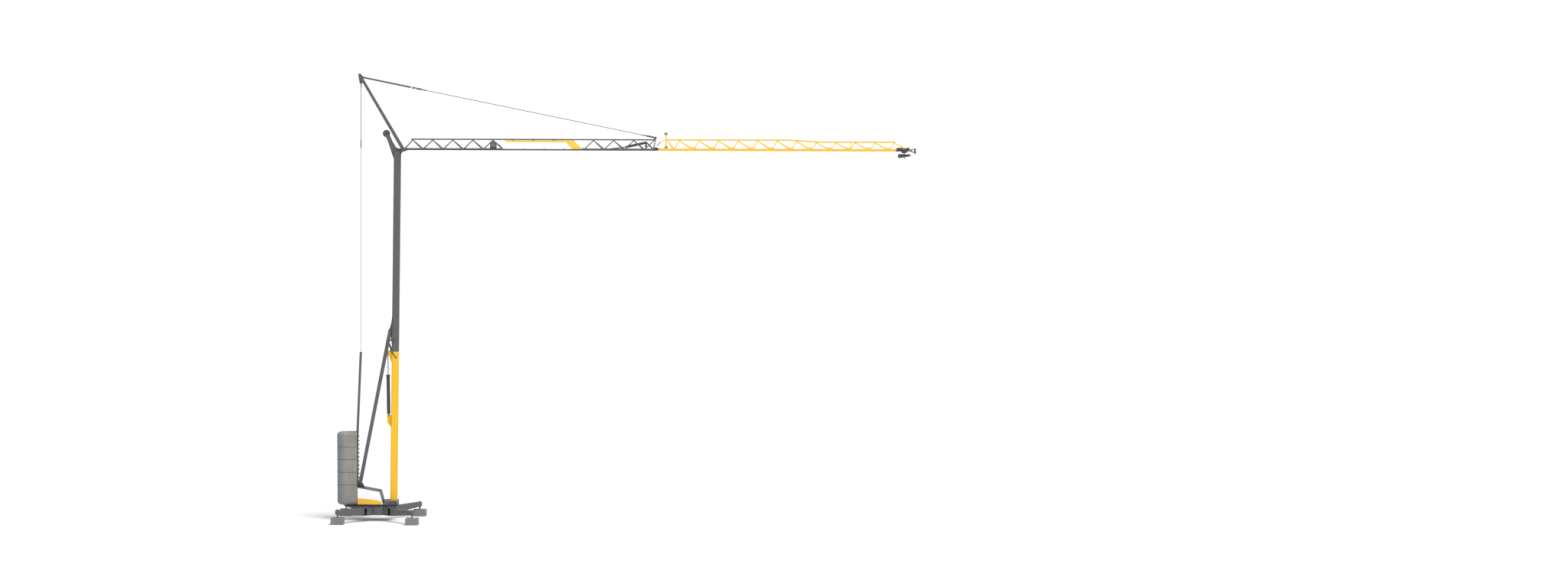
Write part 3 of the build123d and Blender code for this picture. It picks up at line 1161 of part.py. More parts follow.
def trolley_frame():
    """Two side plates outside the chords, joined below them by cross members with the lugs of the falls."""
    inner = JIB_HALF_GAUGE + CHORD / 2 + RAIL_WIDTH + PLATE_GAP
    outer = inner + TROLLEY_PLATE_THICK
    rear, front = FALLS_X - HANGER_HALF - HANGER_TIE, FALLS_X + HANGER_HALF + HANGER_TIE
    outline = [(TROLLEY_REAR, TROLLEY_PLATE_LOW), (rear - HANGER_TIE, TROLLEY_PLATE_LOW), (rear, TROLLEY_LOW),
               (front, TROLLEY_LOW), (front + HANGER_TIE, TROLLEY_PLATE_LOW), (TROLLEY_FRONT, TROLLEY_PLATE_LOW),
               (TROLLEY_FRONT, TROLLEY_HIGH), (TROLLEY_REAR, TROLLEY_HIGH)]
    frame = join(pair(outline, inner, outer))
    tie_high = JIB_Z - CHORD / 2 - 3 * LUG_GAP
    for x in (rear, front - HANGER_TIE):
        frame = frame + block(x, x + HANGER_TIE, -inner, inner, TROLLEY_LOW, tie_high)
    lug = [(FALLS_X - HANGER_HALF, tie_high), (FALLS_X + HANGER_HALF, tie_high), (FALLS_X + HANGER_HALF, TROLLEY_LOW),
           (FALLS_X + HANGER_HALF / 2, FALLS_PIVOT_Z - FALLS_DROP / 2), (FALLS_X - HANGER_HALF / 2, FALLS_PIVOT_Z - FALLS_DROP / 2),
           (FALLS_X - HANGER_HALF, TROLLEY_LOW)]
    lug_inner = BLOCK_HALF_GAP + BLOCK_CHEEK + LUG_GAP
    frame = join([frame, *pair(lug, lug_inner, lug_inner + TROLLEY_PLATE_THICK)])
    return frame - pin_bore(FALLS_X, FALLS_PIVOT_Z, FALLS_PIN_RADIUS)


def trolley_wheels():
    """Four wheels on the rails, each on a stub axle from its side plate."""
    face = JIB_HALF_GAUGE + CHORD / 2
    z = JIB_Z - CHORD / 2 + RAIL_THICK + WHEEL_RADIUS + SEAT
    inner = face + WHEEL_GAP
    plate = face + RAIL_WIDTH + PLATE_GAP
    wheels = []
    for side in (-1, 1):
        for x in (TROLLEY_REAR + WHEEL_INSET, TROLLEY_FRONT - WHEEL_INSET):
            y0, y1 = sorted((side * inner, side * (inner + WHEEL_WIDTH)))
            stub0, stub1 = sorted((side * (inner + WHEEL_WIDTH), side * plate))
            wheels.append(disc(x, z, WHEEL_RADIUS, y0, y1) + disc(x, z, WHEEL_RADIUS * 0.4, stub0, stub1))
    return wheels


def falls_head():
    """The swinging head under the trolley from which the rope falls hang."""
    reach = BLOCK_HALF_GAP + BLOCK_CHEEK + LUG_GAP + TROLLEY_PLATE_THICK
    half = BLOCK_HALF_GAP - LUG_GAP
    wide = FALLS_HALF_SPREAD + HOIST_ROPE_RADIUS + LUG_GAP
    body = block(FALLS_X - wide, FALLS_X + wide, -half, half, FALLS_PIVOT_Z - FALLS_DROP, FALLS_PIVOT_Z)
    body = body + disc(FALLS_X, FALLS_PIVOT_Z, wide, -half, half)
    return body + disc(FALLS_X, FALLS_PIVOT_Z, FALLS_PIN_RADIUS, -reach, reach)


def hoist_falls():
    """The two parts of the hoist rope between the swinging head and the hook block."""
    high = FALLS_PIVOT_Z - FALLS_DROP
    return [Solid.make_cylinder(HOIST_ROPE_RADIUS, high - BLOCK_TOP, Plane((FALLS_X + dx, 0, BLOCK_TOP)))
            for dx in (-FALLS_HALF_SPREAD, FALLS_HALF_SPREAD)]


def hook_block():
    """Two cheek plates round a sheave, drawn out to a narrow tail, with the crosshead for the hook."""
    x, z, r = BLOCK_SHEAVE_X, BLOCK_SHEAVE_Z, BLOCK_SHEAVE_RADIUS
    inner, outer = BLOCK_HALF_GAP, BLOCK_HALF_GAP + BLOCK_CHEEK
    tail = [(x, z - r), (BLOCK_TAIL_X, z - r / 10), (BLOCK_TAIL_X, z + r * 0.72), (x, z + r)]
    pieces = [disc(x, z, r, -outer, -inner), disc(x, z, r, inner, outer), *pair(tail, inner, outer)]
    pieces.append(sheave(x, z, r * 0.84, 2 * inner - 2 * LUG_GAP) + disc(x, z, AXLE_RADIUS, -outer, outer))
    pieces.append(disc(BLOCK_TAIL_X - r / 2, z + r / 3, AXLE_RADIUS, -inner, inner))
    peg_low = z + r / 3
    pieces.append(disc(BLOCK_PEG_X, peg_low, HOOK_SHANK_RADIUS, -inner, inner))
    pieces.append(Solid.make_cylinder(HOOK_SHANK_RADIUS, 1.2 * r, Plane((BLOCK_PEG_X, 0, peg_low))))
    head = block(FALLS_X - HOOK_RADIUS, FALLS_X + HOOK_RADIUS, -inner, inner, z - HOOK_SHANK_DROP * 0.75, BLOCK_TOP)
    bore = Solid.make_cylinder(HOOK_SHANK_RADIUS + SEAT, 2 * HOOK_SHANK_DROP, Plane((FALLS_X, 0, z - 2 * HOOK_SHANK_DROP)))
    return join([*pieces, head]) - bore


def hook():
    """A forged hook turned below the block: shank, throat and rising point."""
    low = BLOCK_SHEAVE_Z - HOOK_SHANK_DROP
    shank = Solid.make_cylinder(HOOK_SHANK_RADIUS, HOOK_SHANK_DROP - SEAT, Plane((FALLS_X, 0, low)))
    centre = low - HOOK_RADIUS
    section = Face.make_rect(HOOK_WIDE, HOOK_DEEP, Plane((FALLS_X, 0, low), x_dir=(0, 1, 0), z_dir=(1, 0, 0)))
    return shank + Solid.revolve(section, HOOK_SWEEP, Axis((FALLS_X, 0, centre), (0, 1, 0)))


def tail_and_deck():
    write("platform_frame", platform_frame() + guy_anchor())
    ballast()
    write("ballast_ladder", *ballast_ladder())
    write("machinery_cabinet", machinery_cabinet())
    write("cabinet_trim", *cabinet_trim())
    write("strut_shoe", strut_shoe())


def mast():
    write("lower_mast", lower_mast())
    write("upper_mast", upper_mast())
    write("head_sheave", head_sheave())
    write("mast_strut", mast_strut())
    write("fold_cylinder_barrel", fold_cylinder_barrel())
    write("fold_cylinder_rod", fold_cylinder_rod())
    write("fold_links", fold_links())


def jib():
    inner_jib()
    outer_jib()
    write("jib_root_shaft", jib_root_shaft())
    write("inner_end_frame", *inner_end_frame())
    write("outer_hinge_frame", *outer_hinge_frame())
    write("jib_fold_lever", fold_lever())
    write("jib_fold_hinge", *fold_hinge())
    write("jib_winch", jib_winch())
    write("sign_board", sign_board())
    write("tip_frame", tip_frame())
    write("top_strut", top_strut())
    write("stay_bars", *stay_bars())
    write("stay_rope", stay_rope())


def guy():
    write("guy_rod", guy_rod())
    write("guy_rope", guy_rope())


def lifting_gear():
    write("trolley_frame", trolley_frame())
    write("trolley_wheels", *trolley_wheels())
    write("falls_head", falls_head())
    write("hoist_falls", *hoist_falls())
    write("hook_block", hook_block())
    write("hook", hook())


os.makedirs("parts", exist_ok=True)
support_base()
tail_and_deck()
mast()
jib()
guy()
lifting_gear()
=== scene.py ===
from math import radians

import bmesh
import bpy
import numpy as np
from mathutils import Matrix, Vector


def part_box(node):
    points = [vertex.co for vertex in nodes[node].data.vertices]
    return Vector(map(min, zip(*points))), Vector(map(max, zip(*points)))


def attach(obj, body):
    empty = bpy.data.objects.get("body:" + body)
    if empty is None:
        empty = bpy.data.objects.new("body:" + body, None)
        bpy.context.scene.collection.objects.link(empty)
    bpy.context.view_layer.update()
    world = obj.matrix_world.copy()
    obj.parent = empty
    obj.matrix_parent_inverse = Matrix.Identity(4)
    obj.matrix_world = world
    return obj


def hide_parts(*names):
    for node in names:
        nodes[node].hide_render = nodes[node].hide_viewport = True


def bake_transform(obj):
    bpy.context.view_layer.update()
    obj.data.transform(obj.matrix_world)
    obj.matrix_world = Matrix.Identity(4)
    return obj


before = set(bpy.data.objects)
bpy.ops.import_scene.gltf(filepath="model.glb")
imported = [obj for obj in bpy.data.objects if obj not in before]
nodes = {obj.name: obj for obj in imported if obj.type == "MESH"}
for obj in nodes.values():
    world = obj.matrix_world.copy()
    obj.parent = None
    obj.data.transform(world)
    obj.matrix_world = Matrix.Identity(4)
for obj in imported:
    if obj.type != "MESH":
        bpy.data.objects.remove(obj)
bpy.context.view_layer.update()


# The camera stands far off with a long lens, a little above the jib and a little to the right of the crane.
# The picture is 2048 by 737 pixels, and the lens is given for that width on a 36 mm sensor.
picture_width, lens_pixels, sensor_width = 2048, 8033, 36
camera_place = (35.60, -315.723, 38.736)
camera_down, camera_left = 4.75, 2.64
camera_data = bpy.data.cameras.new("long_lens")
camera_data.sensor_width = sensor_width
camera_data.lens = lens_pixels * sensor_width / picture_width
camera_data.clip_end = 2000
camera = bpy.data.objects.new("long_lens", camera_data)
camera.location = camera_place
camera.rotation_euler = (radians(90 - camera_down), 0, radians(camera_left))
bpy.context.collection.objects.link(camera)
bpy.context.scene.camera = camera


# A plain white studio: a backdrop that is seen white and lights the crane evenly, one broad lamp high on
# the right and in front, and a pale floor that takes a soft shadow.
sky_light, sky_seen = 0.74, 1.0
lamp_power, lamp_width = 2.5, 30
lamp_off_zenith, lamp_bearing = 30, 50
floor_reach, floor_drop = 2500.0, 0.002

studio = bpy.data.worlds.new("studio")
studio.use_nodes = True
backdrop = studio.node_tree.nodes["Background"]
backdrop.inputs["Color"].default_value = (1.0, 1.0, 1.0, 1.0)
seen = studio.node_tree.nodes.new("ShaderNodeLightPath")
brightness = studio.node_tree.nodes.new("ShaderNodeMapRange")
brightness.inputs["To Min"].default_value = sky_light
brightness.inputs["To Max"].default_value = sky_seen
studio.node_tree.links.new(seen.outputs["Is Camera Ray"], brightness.inputs["Value"])
studio.node_tree.links.new(brightness.outputs["Result"], backdrop.inputs["Strength"])
bpy.context.scene.world = studio
bpy.context.scene.view_settings.view_transform = "Standard"

lamp_data = bpy.data.lights.new("broad_lamp", "SUN")
lamp_data.energy = lamp_power
lamp_data.angle = radians(lamp_width)
lamp = bpy.data.objects.new("broad_lamp", lamp_data)
lamp.rotation_euler = (radians(lamp_off_zenith), 0, radians(lamp_bearing))
bpy.context.collection.objects.link(lamp)

floor_mesh = bpy.data.meshes.new("floor")
floor_corners = [(side_x * floor_reach, side_y * floor_reach, -floor_drop)
                 for side_x, side_y in ((-1, -1), (1, -1), (1, 1), (-1, 1))]
floor_mesh.from_pydata(floor_corners, [], [(0, 1, 2, 3)])
floor = bpy.data.objects.new("floor", floor_mesh)
bpy.context.collection.objects.link(floor)


# Concrete ground pads and ballast. Grey cast blocks, struck from steel moulds: a fine cement skin with air
# pores and faint rain runs. The ballast blocks lie on each other by their own weight, with a dark joint
# between them. Their rounded rear side is painted darker and bluish, a painted shade with a painted sky
# reflection on it.
def linear(red, green, blue):
    """A screen colour of 0 to 255 as the light that it stands for."""
    shares = np.array([red, green, blue]) / 255
    light = np.where(shares <= 0.04045, shares / 12.92, ((shares + 0.055) / 1.055) ** 2.4)
    return (*(float(v) for v in light), 1.0)


class Flow:
    """A number or colour that flows between a finish's nodes. Its sums add their own Math nodes."""

    def __init__(self, finish, socket):
        self.finish = finish
        self.socket = socket

    def __add__(self, other):
        return self.finish.maths("ADD", self, other)

    def __radd__(self, other):
        return self.finish.maths("ADD", other, self)

    def __sub__(self, other):
        return self.finish.maths("SUBTRACT", self, other)

    def __rsub__(self, other):
        return self.finish.maths("SUBTRACT", other, self)

    def __mul__(self, other):
        return self.finish.maths("MULTIPLY", self, other)

    def __rmul__(self, other):
        return self.finish.maths("MULTIPLY", other, self)

    def __gt__(self, other):
        return self.finish.maths("GREATER_THAN", self, other)

    def __lt__(self, other):
        return self.finish.maths("LESS_THAN", self, other)

    def __abs__(self):
        return self.finish.maths("ABSOLUTE", self)


class Finish:
    """One material. node() adds any node: its type, its settings, then what feeds its sockets."""

    def __init__(self, name, roughness, metallic=0.0):
        self.material = bpy.data.materials.new(name)
        self.material.use_nodes = True
        self.tree = self.material.node_tree
        self.shader = self.tree.nodes["Principled BSDF"]
        self.shader.inputs["Roughness"].default_value = roughness
        self.shader.inputs["Metallic"].default_value = metallic
        self.place = self.node("TexCoord", out="Object")
        self.x, self.y, self.z = self.axes(self.place)

    def node(self, kind, settings=(), feeds=(), out=0):
        made = self.tree.nodes.new("ShaderNode" + kind)
        for name, value in dict(settings).items():
            setattr(made, name, value)
        for name, value in dict(feeds).items():
            if isinstance(value, Flow):
                self.tree.links.new(value.socket, made.inputs[name])
            else:
                made.inputs[name].default_value = value
        return Flow(self, made.outputs[out])

    def axes(self, vector):
        """The X, Y and Z of a vector."""
        parts = self.tree.nodes.new("ShaderNodeSeparateXYZ")
        self.tree.links.new(vector.socket, parts.inputs[0])
        return [Flow(self, parts.outputs[axis]) for axis in range(3)]

    def maths(self, operation, first, second=0.0):
        return self.node("Math", {"operation": operation}, {0: first, 1: second})

    def noise(self, scale, detail=3.0, stretch=(1.0, 1.0, 1.0)):
        """Cloudy pattern, stretched by its own factor along each axis."""
        place = self.node("Mapping", {}, {"Vector": self.place, "Scale": stretch})
        return self.node("TexNoise", {}, {"Vector": place, "Scale": scale, "Detail": detail})

    def ramp(self, value, low, high):
        """0 at low, 1 at high, straight between and level beyond. low may be the larger of the two."""
        return self.node("MapRange", {"clamp": True}, {"Value": value, "From Min": low, "From Max": high})

    def below(self, value, limit, blur):
        """1 where the value is under the limit, 0 where it is over, with a narrow blur between."""
        return self.ramp(value, limit + blur, limit - blur)

    def facing_up(self):
        """1 on what lies level and faces up, 0 on walls."""
        up = self.axes(self.node("TexCoord", out="Normal"))[2]
        return self.ramp(up, 0.5, 0.95)

    def mix(self, share, first, second):
        return self.node("Mix", {"data_type": "RGBA"}, {0: share, 6: first, 7: second}, out=2)

    def feed(self, name, flow):
        self.tree.links.new(flow.socket, self.shader.inputs[name])

    def over(self, share, colour):
        """Lays a share of another colour over the base colour."""
        base = Flow(self, self.shader.inputs["Base Color"].links[0].from_socket)
        self.feed("Base Color", self.mix(share, base, colour))

    def bump(self, height, distance):
        feeds = {"Height": height, "Distance": distance, "Strength": 1.0}
        self.feed("Normal", self.node("Bump", {}, feeds))


def named(*starts):
    """The frame's nodes whose names start with one of the words."""
    return [name for name in nodes if name.startswith(starts)]


def wear(names, finish):
    """The nodes take one finish in every slot."""
    for name in names:
        for slot in nodes[name].material_slots:
            slot.material = finish.material


def cast_concrete(name, shade, sheen):
    """Cement skin between two tones, with rain runs, grains and pores. Gives the finish and its height."""
    finish = Finish(name, roughness=0.9)
    cloud = finish.noise(scale=1.1, detail=5)
    grain = finish.noise(scale=60, detail=4)
    runs = finish.noise(scale=1.0, stretch=(3.5, 3.5, 0.25))
    pores = finish.node("TexVoronoi", {}, {"Vector": finish.place, "Scale": 34.0}, out="Distance")
    finish.feed("Base Color", finish.mix(finish.ramp(cloud, 0.3, 0.7), shade, sheen))
    finish.over(finish.ramp(runs, 0.56, 0.72) * 0.35, linear(112, 110, 107))
    finish.over(finish.ramp(grain, 0.45, 0.75) * 0.25, linear(114, 111, 107))
    return finish, finish.ramp(pores, 0.0, 0.18) * 0.7 + grain * 0.5


concrete_relief = 0.004
pad_concrete, height = cast_concrete("pad_concrete", linear(116, 115, 113), linear(129, 127, 123))
pad_concrete.bump(height, concrete_relief)
wear(named("ground_pad"), pad_concrete)

joint_half, joint_blur = 0.009, 0.009
rear_shade_from, rear_shade_full = 0.47, 0.12
blocks = sorted(named("ballast_block"))
rear_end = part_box(blocks[1])[0].x
block_concrete, height = cast_concrete("block_concrete", linear(131, 128, 124), linear(145, 141, 135))
joint = 0.0
for block in blocks[:-1]:
    from_joint = abs(block_concrete.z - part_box(block)[1].z)
    joint = joint + block_concrete.ramp(from_joint, joint_half + joint_blur, joint_half)
# painted shade: the rounded rear is darkened and tinted blue as if turned from the lamp and lit by the sky
rear_painted_shade = block_concrete.ramp(block_concrete.x, rear_end + rear_shade_from, rear_end + rear_shade_full)
block_concrete.over(rear_painted_shade * 0.65, linear(112, 119, 124))
block_concrete.over(joint * 0.75, linear(66, 65, 64))
block_concrete.bump(height - joint * 1.5, concrete_relief)
wear(blocks, block_concrete)


# Support base and turning platform. Box beams welded from plate, blasted and sprayed with a satin grey
# coat: fine orange peel, thin dust on what faces up, faint runs below the joints. Below the deck the
# platform's girders are painted nearly black, a painted shade for the deep shadow under the housing.
orange_peel = 0.00015


def painted_steel(name, colour, dust, roughness=0.42, rounding=None):
    """A coat of one colour, clouded by dust. rounding() may give a height that turns a tube's corners."""
    finish = Finish(name, roughness)
    cloud = finish.noise(scale=0.9, detail=4)
    streak = finish.noise(scale=1.0, stretch=(9.0, 9.0, 0.5))
    finish.feed("Base Color", finish.mix(finish.ramp(cloud, 0.35, 0.75) * 0.25, colour, dust))
    finish.over(finish.ramp(streak, 0.55, 0.8) * 0.20, dust)
    finish.over(finish.facing_up() * (0.25 + cloud * 0.4), dust)
    finish.feed("Roughness", cloud * 0.2 + (roughness - 0.08))
    height = finish.noise(scale=220, detail=2) * orange_peel
    if rounding:
        height = height + rounding(finish)
    finish.bump(height, 1.0)
    return finish


grey_shade, grey_dust = linear(84, 84, 86), linear(100, 99, 98)
base_grey = painted_steel("base_grey_paint", linear(82, 83, 87), linear(106, 105, 104))
wear(named("outrigger_", "centre_frame"), base_grey)

deck_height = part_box("machinery_cabinet")[0].z
platform_paint = painted_steel("platform_paint", linear(84, 86, 91), grey_dust)
# painted shade: the girders below the deck are darkened to stand for the shadow under the housing
under_deck_shade = platform_paint.below(platform_paint.z, deck_height, blur=0.003)
platform_paint.over(under_deck_shade, linear(40, 40, 43))
wear(["platform_frame"], platform_paint)


# Levelling spindles and hinge pins of the four arms. Each spindle is a threaded bar with a lock nut below
# the arm and a hexagon on top for the wrench. A keeper plate with two bolts holds each hinge pin down.
def points(x, y, z):
    """Points from their coordinates, where one number may stand for all."""
    return np.stack(np.broadcast_arrays(x, y, z), axis=-1).astype(float)


def turned(profile, sides, at, axis):
    """A profile of (radius, height) points turned about an axis through each point of at:
    point = at + height * axis + radius * (cos(turn) * side + sin(turn) * third), turn going once round."""
    at = np.atleast_2d(np.asarray(at, float))
    axis = np.broadcast_to(np.asarray(axis, float), at.shape)
    axis = axis / np.linalg.norm(axis, axis=-1, keepdims=True)
    helper = np.where(np.abs(axis[:, 2:3]) < 0.9, (0.0, 0.0, 1.0), (1.0, 0.0, 0.0))
    side = np.cross(helper, axis)
    side = side / np.linalg.norm(side, axis=-1, keepdims=True)
    third = np.cross(axis, side)
    radius, height = np.array(profile, float).T
    turn = np.arange(sides) * 2 * np.pi / sides
    ring = side[:, None] * np.cos(turn)[:, None] + third[:, None] * np.sin(turn)[:, None]
    return (at[:, None, None] + height[:, None, None] * axis[:, None, None]
            + radius[:, None, None] * ring[:, None])


def piece(name, body, slot, finish, *grids, smooth=False):
    """One object from grids of points. A grid's columns close into a ring, its faces join each row to the
    next, and doubled points at the poles are merged. It rides on its body, if it is given one."""
    corners, faces, start = [], [], 0
    for grid in grids:
        rows, columns = grid.shape[-3:-1]
        stack = grid.reshape(-1, rows, columns, 3)
        index = np.arange(stack.size // 3).reshape(stack.shape[:3]) + start
        after = np.roll(index, -1, axis=2)
        quads = np.stack([index[:, :-1], after[:, :-1], after[:, 1:], index[:, 1:]], axis=-1)
        faces.append(quads.reshape(-1, 4))
        corners.append(stack.reshape(-1, 3))
        start += stack.size // 3
    mesh = bpy.data.meshes.new(name)
    mesh.from_pydata(np.concatenate(corners).tolist(), [], np.concatenate(faces).tolist())
    work = bmesh.new()
    work.from_mesh(mesh)
    bmesh.ops.remove_doubles(work, verts=work.verts, dist=1e-6)
    work.to_mesh(mesh)
    work.free()
    mesh.polygons.foreach_set("use_smooth", np.full(len(mesh.polygons), smooth))
    mesh.materials.append(finish.material)
    made = bpy.data.objects.new(name, mesh)
    bpy.context.collection.objects.link(made)
    if body:
        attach(made, body)
    return made


def drum(radius, low, high):
    """Profile of a plain disc or bar."""
    return [(0, low), (radius, low), (radius, high), (0, high)]


def stud(radius, low, high, inward=0.003, down=0.003):
    """Profile of a head whose upper edge is broken: inward across it and down along it."""
    return [(0, low), (radius, low), (radius, high - down), (radius - inward, high), (0, high)]


def bolts(at, axis, size):
    """Hexagon heads on round washers."""
    thick = 0.14 * size
    head = stud(size, 0, 0.72 * size, inward=0.14 * size, down=0.10 * size)
    seats = np.asarray(at, float) + np.asarray(axis, float) * thick
    return turned(drum(1.35 * size, 0, thick), 16, at, axis), turned(head, 6, seats, axis)


def plates(outline, at, along, up, thick, rim=0.002):
    """Flat plates with a broken edge, one at each point of at: point = at + u * along + v * up + depth * out.
    The rows go from the middle of the back, over the rim, to the middle of the front."""
    outline = np.array(outline, float)
    along, up = np.asarray(along, float), np.asarray(up, float)
    out = np.cross(along, up)
    middle = outline.mean(axis=0)
    spread = np.abs(outline - middle).max()
    shares = np.array([0, 1, 1, 1 - rim / spread, 0])[:, None, None]
    depth = np.array([0, 0, thick - rim, thick, thick])[:, None, None]
    flat = middle + (outline - middle) * shares
    shape = flat[..., :1] * along + flat[..., 1:] * up + depth * out
    return np.atleast_2d(np.asarray(at, float))[:, None, None] + shape


def oblong(half_long, low, high):
    """Outline of a right-angled plate, even about its middle, from low to high."""
    return [(-half_long, low), (half_long, low), (half_long, high), (-half_long, high)]


thread_pitch, thread_core, thread_crest = 0.010, 0.0302, 0.0336


def thread(low, high):
    """Profile of a screw thread: flat crests and roots in turn from low to high."""
    starts = np.arange(low, high - thread_pitch, thread_pitch)
    rise = thread_pitch * np.array([0.0, 0.3, 0.6, 0.9])
    heights = (starts[:, None] + rise).ravel()
    radii = np.tile([thread_core, thread_crest, thread_crest, thread_core], len(starts))
    return [(0, low), *zip(radii, heights), (0, heights[-1])]


bright = Finish("zinc_plated_steel", roughness=0.38, metallic=0.85)
tarnish = bright.noise(scale=14, detail=4)
zinc, zinc_spots = linear(150, 150, 148), linear(112, 112, 112)
bright.feed("Base Color", bright.mix(bright.ramp(tarnish, 0.35, 0.7), zinc, zinc_spots))
bright.feed("Roughness", tarnish * 0.3 + 0.25)

upright = (0, 0, 1)
foot_plate_high, cone_high, nut_low, nut_high = 0.352, 0.372, 0.418, 0.458
arm_tip_high, spindle_high, hexagon_high, overlap = 0.735, 0.777, 0.800, 0.001
cone_foot, cone_neck, nut_radius, nut_in, nut_up, hexagon_radius = 0.062, 0.040, 0.060, 0.004, 0.006, 0.021
cone = [(0, foot_plate_high), (cone_foot, foot_plate_high), (cone_neck, cone_high), (0, cone_high)]
lock_nut = [(0, nut_low), (nut_radius - nut_in, nut_low), (nut_radius, nut_low + nut_up),
            (nut_radius, nut_high - nut_up), (nut_radius - nut_in, nut_high), (0, nut_high)]
hexagon = stud(hexagon_radius, spindle_high - overlap, hexagon_high, down=0.004)

slewing_ring_height = 0.025
frame_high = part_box("centre_frame")[1].z - slewing_ring_height
keeper_reach, keeper_thick = 1.127, 0.006
keeper_bolt_place, keeper_bolt = 0.042, 0.010
keeper = oblong(0.016, -0.06, 0.06)

for corner in ("front_left", "front_right", "rear_right", "rear_left"):
    pad_low, pad_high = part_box(f"ground_pad_{corner}")
    spindle = np.array([(pad_low.x + pad_high.x) / 2, (pad_low.y + pad_high.y) / 2, 0.0])
    out = spindle / np.linalg.norm(spindle)
    across = np.array([-out[1], out[0], 0.0])
    piece(f"spindle_thread_{corner}", f"outrigger_{corner}", "worn_steel", bright,
          turned(thread(cone_high, nut_low + 2 * overlap), 20, spindle, upright),
          turned(thread(arm_tip_high, spindle_high), 20, spindle, upright),
          turned(lock_nut, 6, spindle, upright), turned(hexagon, 6, spindle, upright),
          turned(cone, 24, spindle, upright))
    seat = out * keeper_reach + (0, 0, frame_high)
    bolt_seats = seat + np.outer((-keeper_bolt_place, keeper_bolt_place), across) + (0, 0, keeper_thick)
    piece(f"arm_pin_keeper_{corner}", "undercarriage", "grey_paint", base_grey,
          plates(keeper, seat, out, across, keeper_thick), *bolts(bolt_seats, upright, keeper_bolt))


# Slewing ring. The fixed ring is bolted down to the drum of the centre frame, by a circle of plated hexagon
# bolts on round washers.
ring_bolts, ring_bolt, bolt_circle = 28, 0.018, 0.531
around = np.arange(ring_bolts) * 2 * np.pi / ring_bolts
circle = points(bolt_circle * np.cos(around), bolt_circle * np.sin(around), frame_high)
piece("slewing_ring_bolts", "undercarriage", "worn_steel", bright, *bolts(circle, upright, ring_bolt))


# Mast shoe. The mast's foot stands in a welded box on the deck. Two turned pins run through the box and the
# mast, with a washer at both ends.
mirror = np.array([1, -1, 1])


def both_sides(profile, sides, near):
    """The profile turned outwards at each point of the near side and at its mirror image on the far side."""
    return turned(profile, sides, near, (0, -1, 0)), turned(profile, sides, near * mirror, (0, 1, 0))


def pin_heads(places, size):
    """A head on both ends of each pin that runs through along Y: a wide washer, then a narrower disc with a
    broken edge and a shallow centre. A place is X, Z and the half length."""
    washer, disc, edge, centre = 1.5 * size, 1.12 * size, 0.92 * size, 0.3 * size
    head = [(0, -0.002), (washer, -0.002), (washer, 0.005), (disc, 0.005), (disc, 0.014), (edge, 0.018),
            (centre, 0.018), (0.22 * size, 0.013), (0, 0.013)]
    x, z, y = np.array(places, float).T
    return both_sides(head, 24, points(x, -y, z))


shoe_half, shoe_pin_z, shoe_pin = 0.44, 0.955, 0.032
shoe_pin_rear, shoe_pin_front = 0.66, 0.91
dark = painted_steel("dark_paint", linear(56, 56, 60), linear(78, 77, 76))
piece("mast_shoe_pins", "superstructure", "dark_trim", dark,
      *pin_heads([(x, shoe_pin_z, shoe_half) for x in (shoe_pin_rear, shoe_pin_front)], shoe_pin))


# Step irons and dark trim. The strut's shoe, the cover of the housing, the cylinder's barrel and the small
# parts of the jib and of the trolley are welded from plate and sprayed dark grey.
dark_nodes = ["cabinet_trim", "strut_shoe", "fold_cylinder_barrel", "jib_fold_lever", "jib_fold_hinge",
              "tip_frame", "trolley_frame", "falls_head", "hook_block", "ballast_ladder"]
wear(dark_nodes, dark)


# Machinery housing. White sprayed sheet with a yellow band below, whose upper edge bows down toward the
# front and which stops short of the sloping front edge. Splashed dirt has dried along its foot.
cabinet_low, cabinet_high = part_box("machinery_cabinet")
band_high, band_bow, band_gap = 1.165, 0.0885, 0.083
front_lean, splash_high, paint_edge = 0.2653, 1.10, 0.002
livery = Finish("white_and_yellow_sheet", roughness=0.35)
from_rear = livery.x - cabinet_low.x
band_top = band_high - from_rear * from_rear * band_bow
band_front = cabinet_high.x - band_gap - (livery.z - cabinet_low.z) * front_lean
band = livery.below(livery.z - band_top, 0.0, paint_edge)
band = band * livery.below(livery.x - band_front, 0.0, paint_edge)
cloud = livery.noise(scale=1.4, detail=4)
specks = livery.ramp(livery.noise(scale=9, detail=4), 0.45, 0.75)
splash = livery.ramp(livery.z, splash_high, deck_height) * specks
livery.feed("Base Color", livery.mix(band, linear(242, 243, 243), linear(238, 184, 22)))
livery.over(livery.ramp(cloud, 0.4, 0.8) * 0.12, linear(196, 196, 194))
livery.over(splash * 0.18, linear(150, 144, 134))
livery.feed("Roughness", cloud * 0.2 + 0.25)
livery.bump(livery.noise(scale=180, detail=2), 0.0005)
wear(["machinery_cabinet"], livery)


# Screws of the cover. Plated pan heads hold the turned-down lip of the dark cover to the housing, along the
# roof and the sloping front.
lip_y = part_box("cabinet_trim")[1].y
roof_fall, lip_inset = 0.1796, 0.012
roof_rear, roof_front, roof_screws = -1.02, 0.06, 8
slope_foot, slope_head, slope_screws = 0.92, 1.46, 5
roof_x = np.linspace(roof_rear, roof_front, roof_screws)
roof_z = cabinet_high.z - roof_fall * (roof_x - cabinet_low.x) - lip_inset
slope_z = np.linspace(slope_foot, slope_head, slope_screws)
slope_x = cabinet_high.x - front_lean * (slope_z - cabinet_low.z) - lip_inset
screws = points(np.concatenate([roof_x, slope_x]), -lip_y, np.concatenate([roof_z, slope_z]))
pan = [(0, 0), (0.0075, 0), (0.007, 0.0025), (0.004, 0.004), (0, 0.0045)]
piece("cover_screws", "superstructure", "worn_steel", bright, *both_sides(pan, 12, screws))


# Mast. Square tubes with rounded corners, the lower length yellow and the upper one grey, one on the other
# on a flange. The rounding of the corners is in the shading.
mast_foot, mast_lean, mast_half, mast_top, corner_radius = 0.773, 0.0156, 0.175, 19.2, 0.055


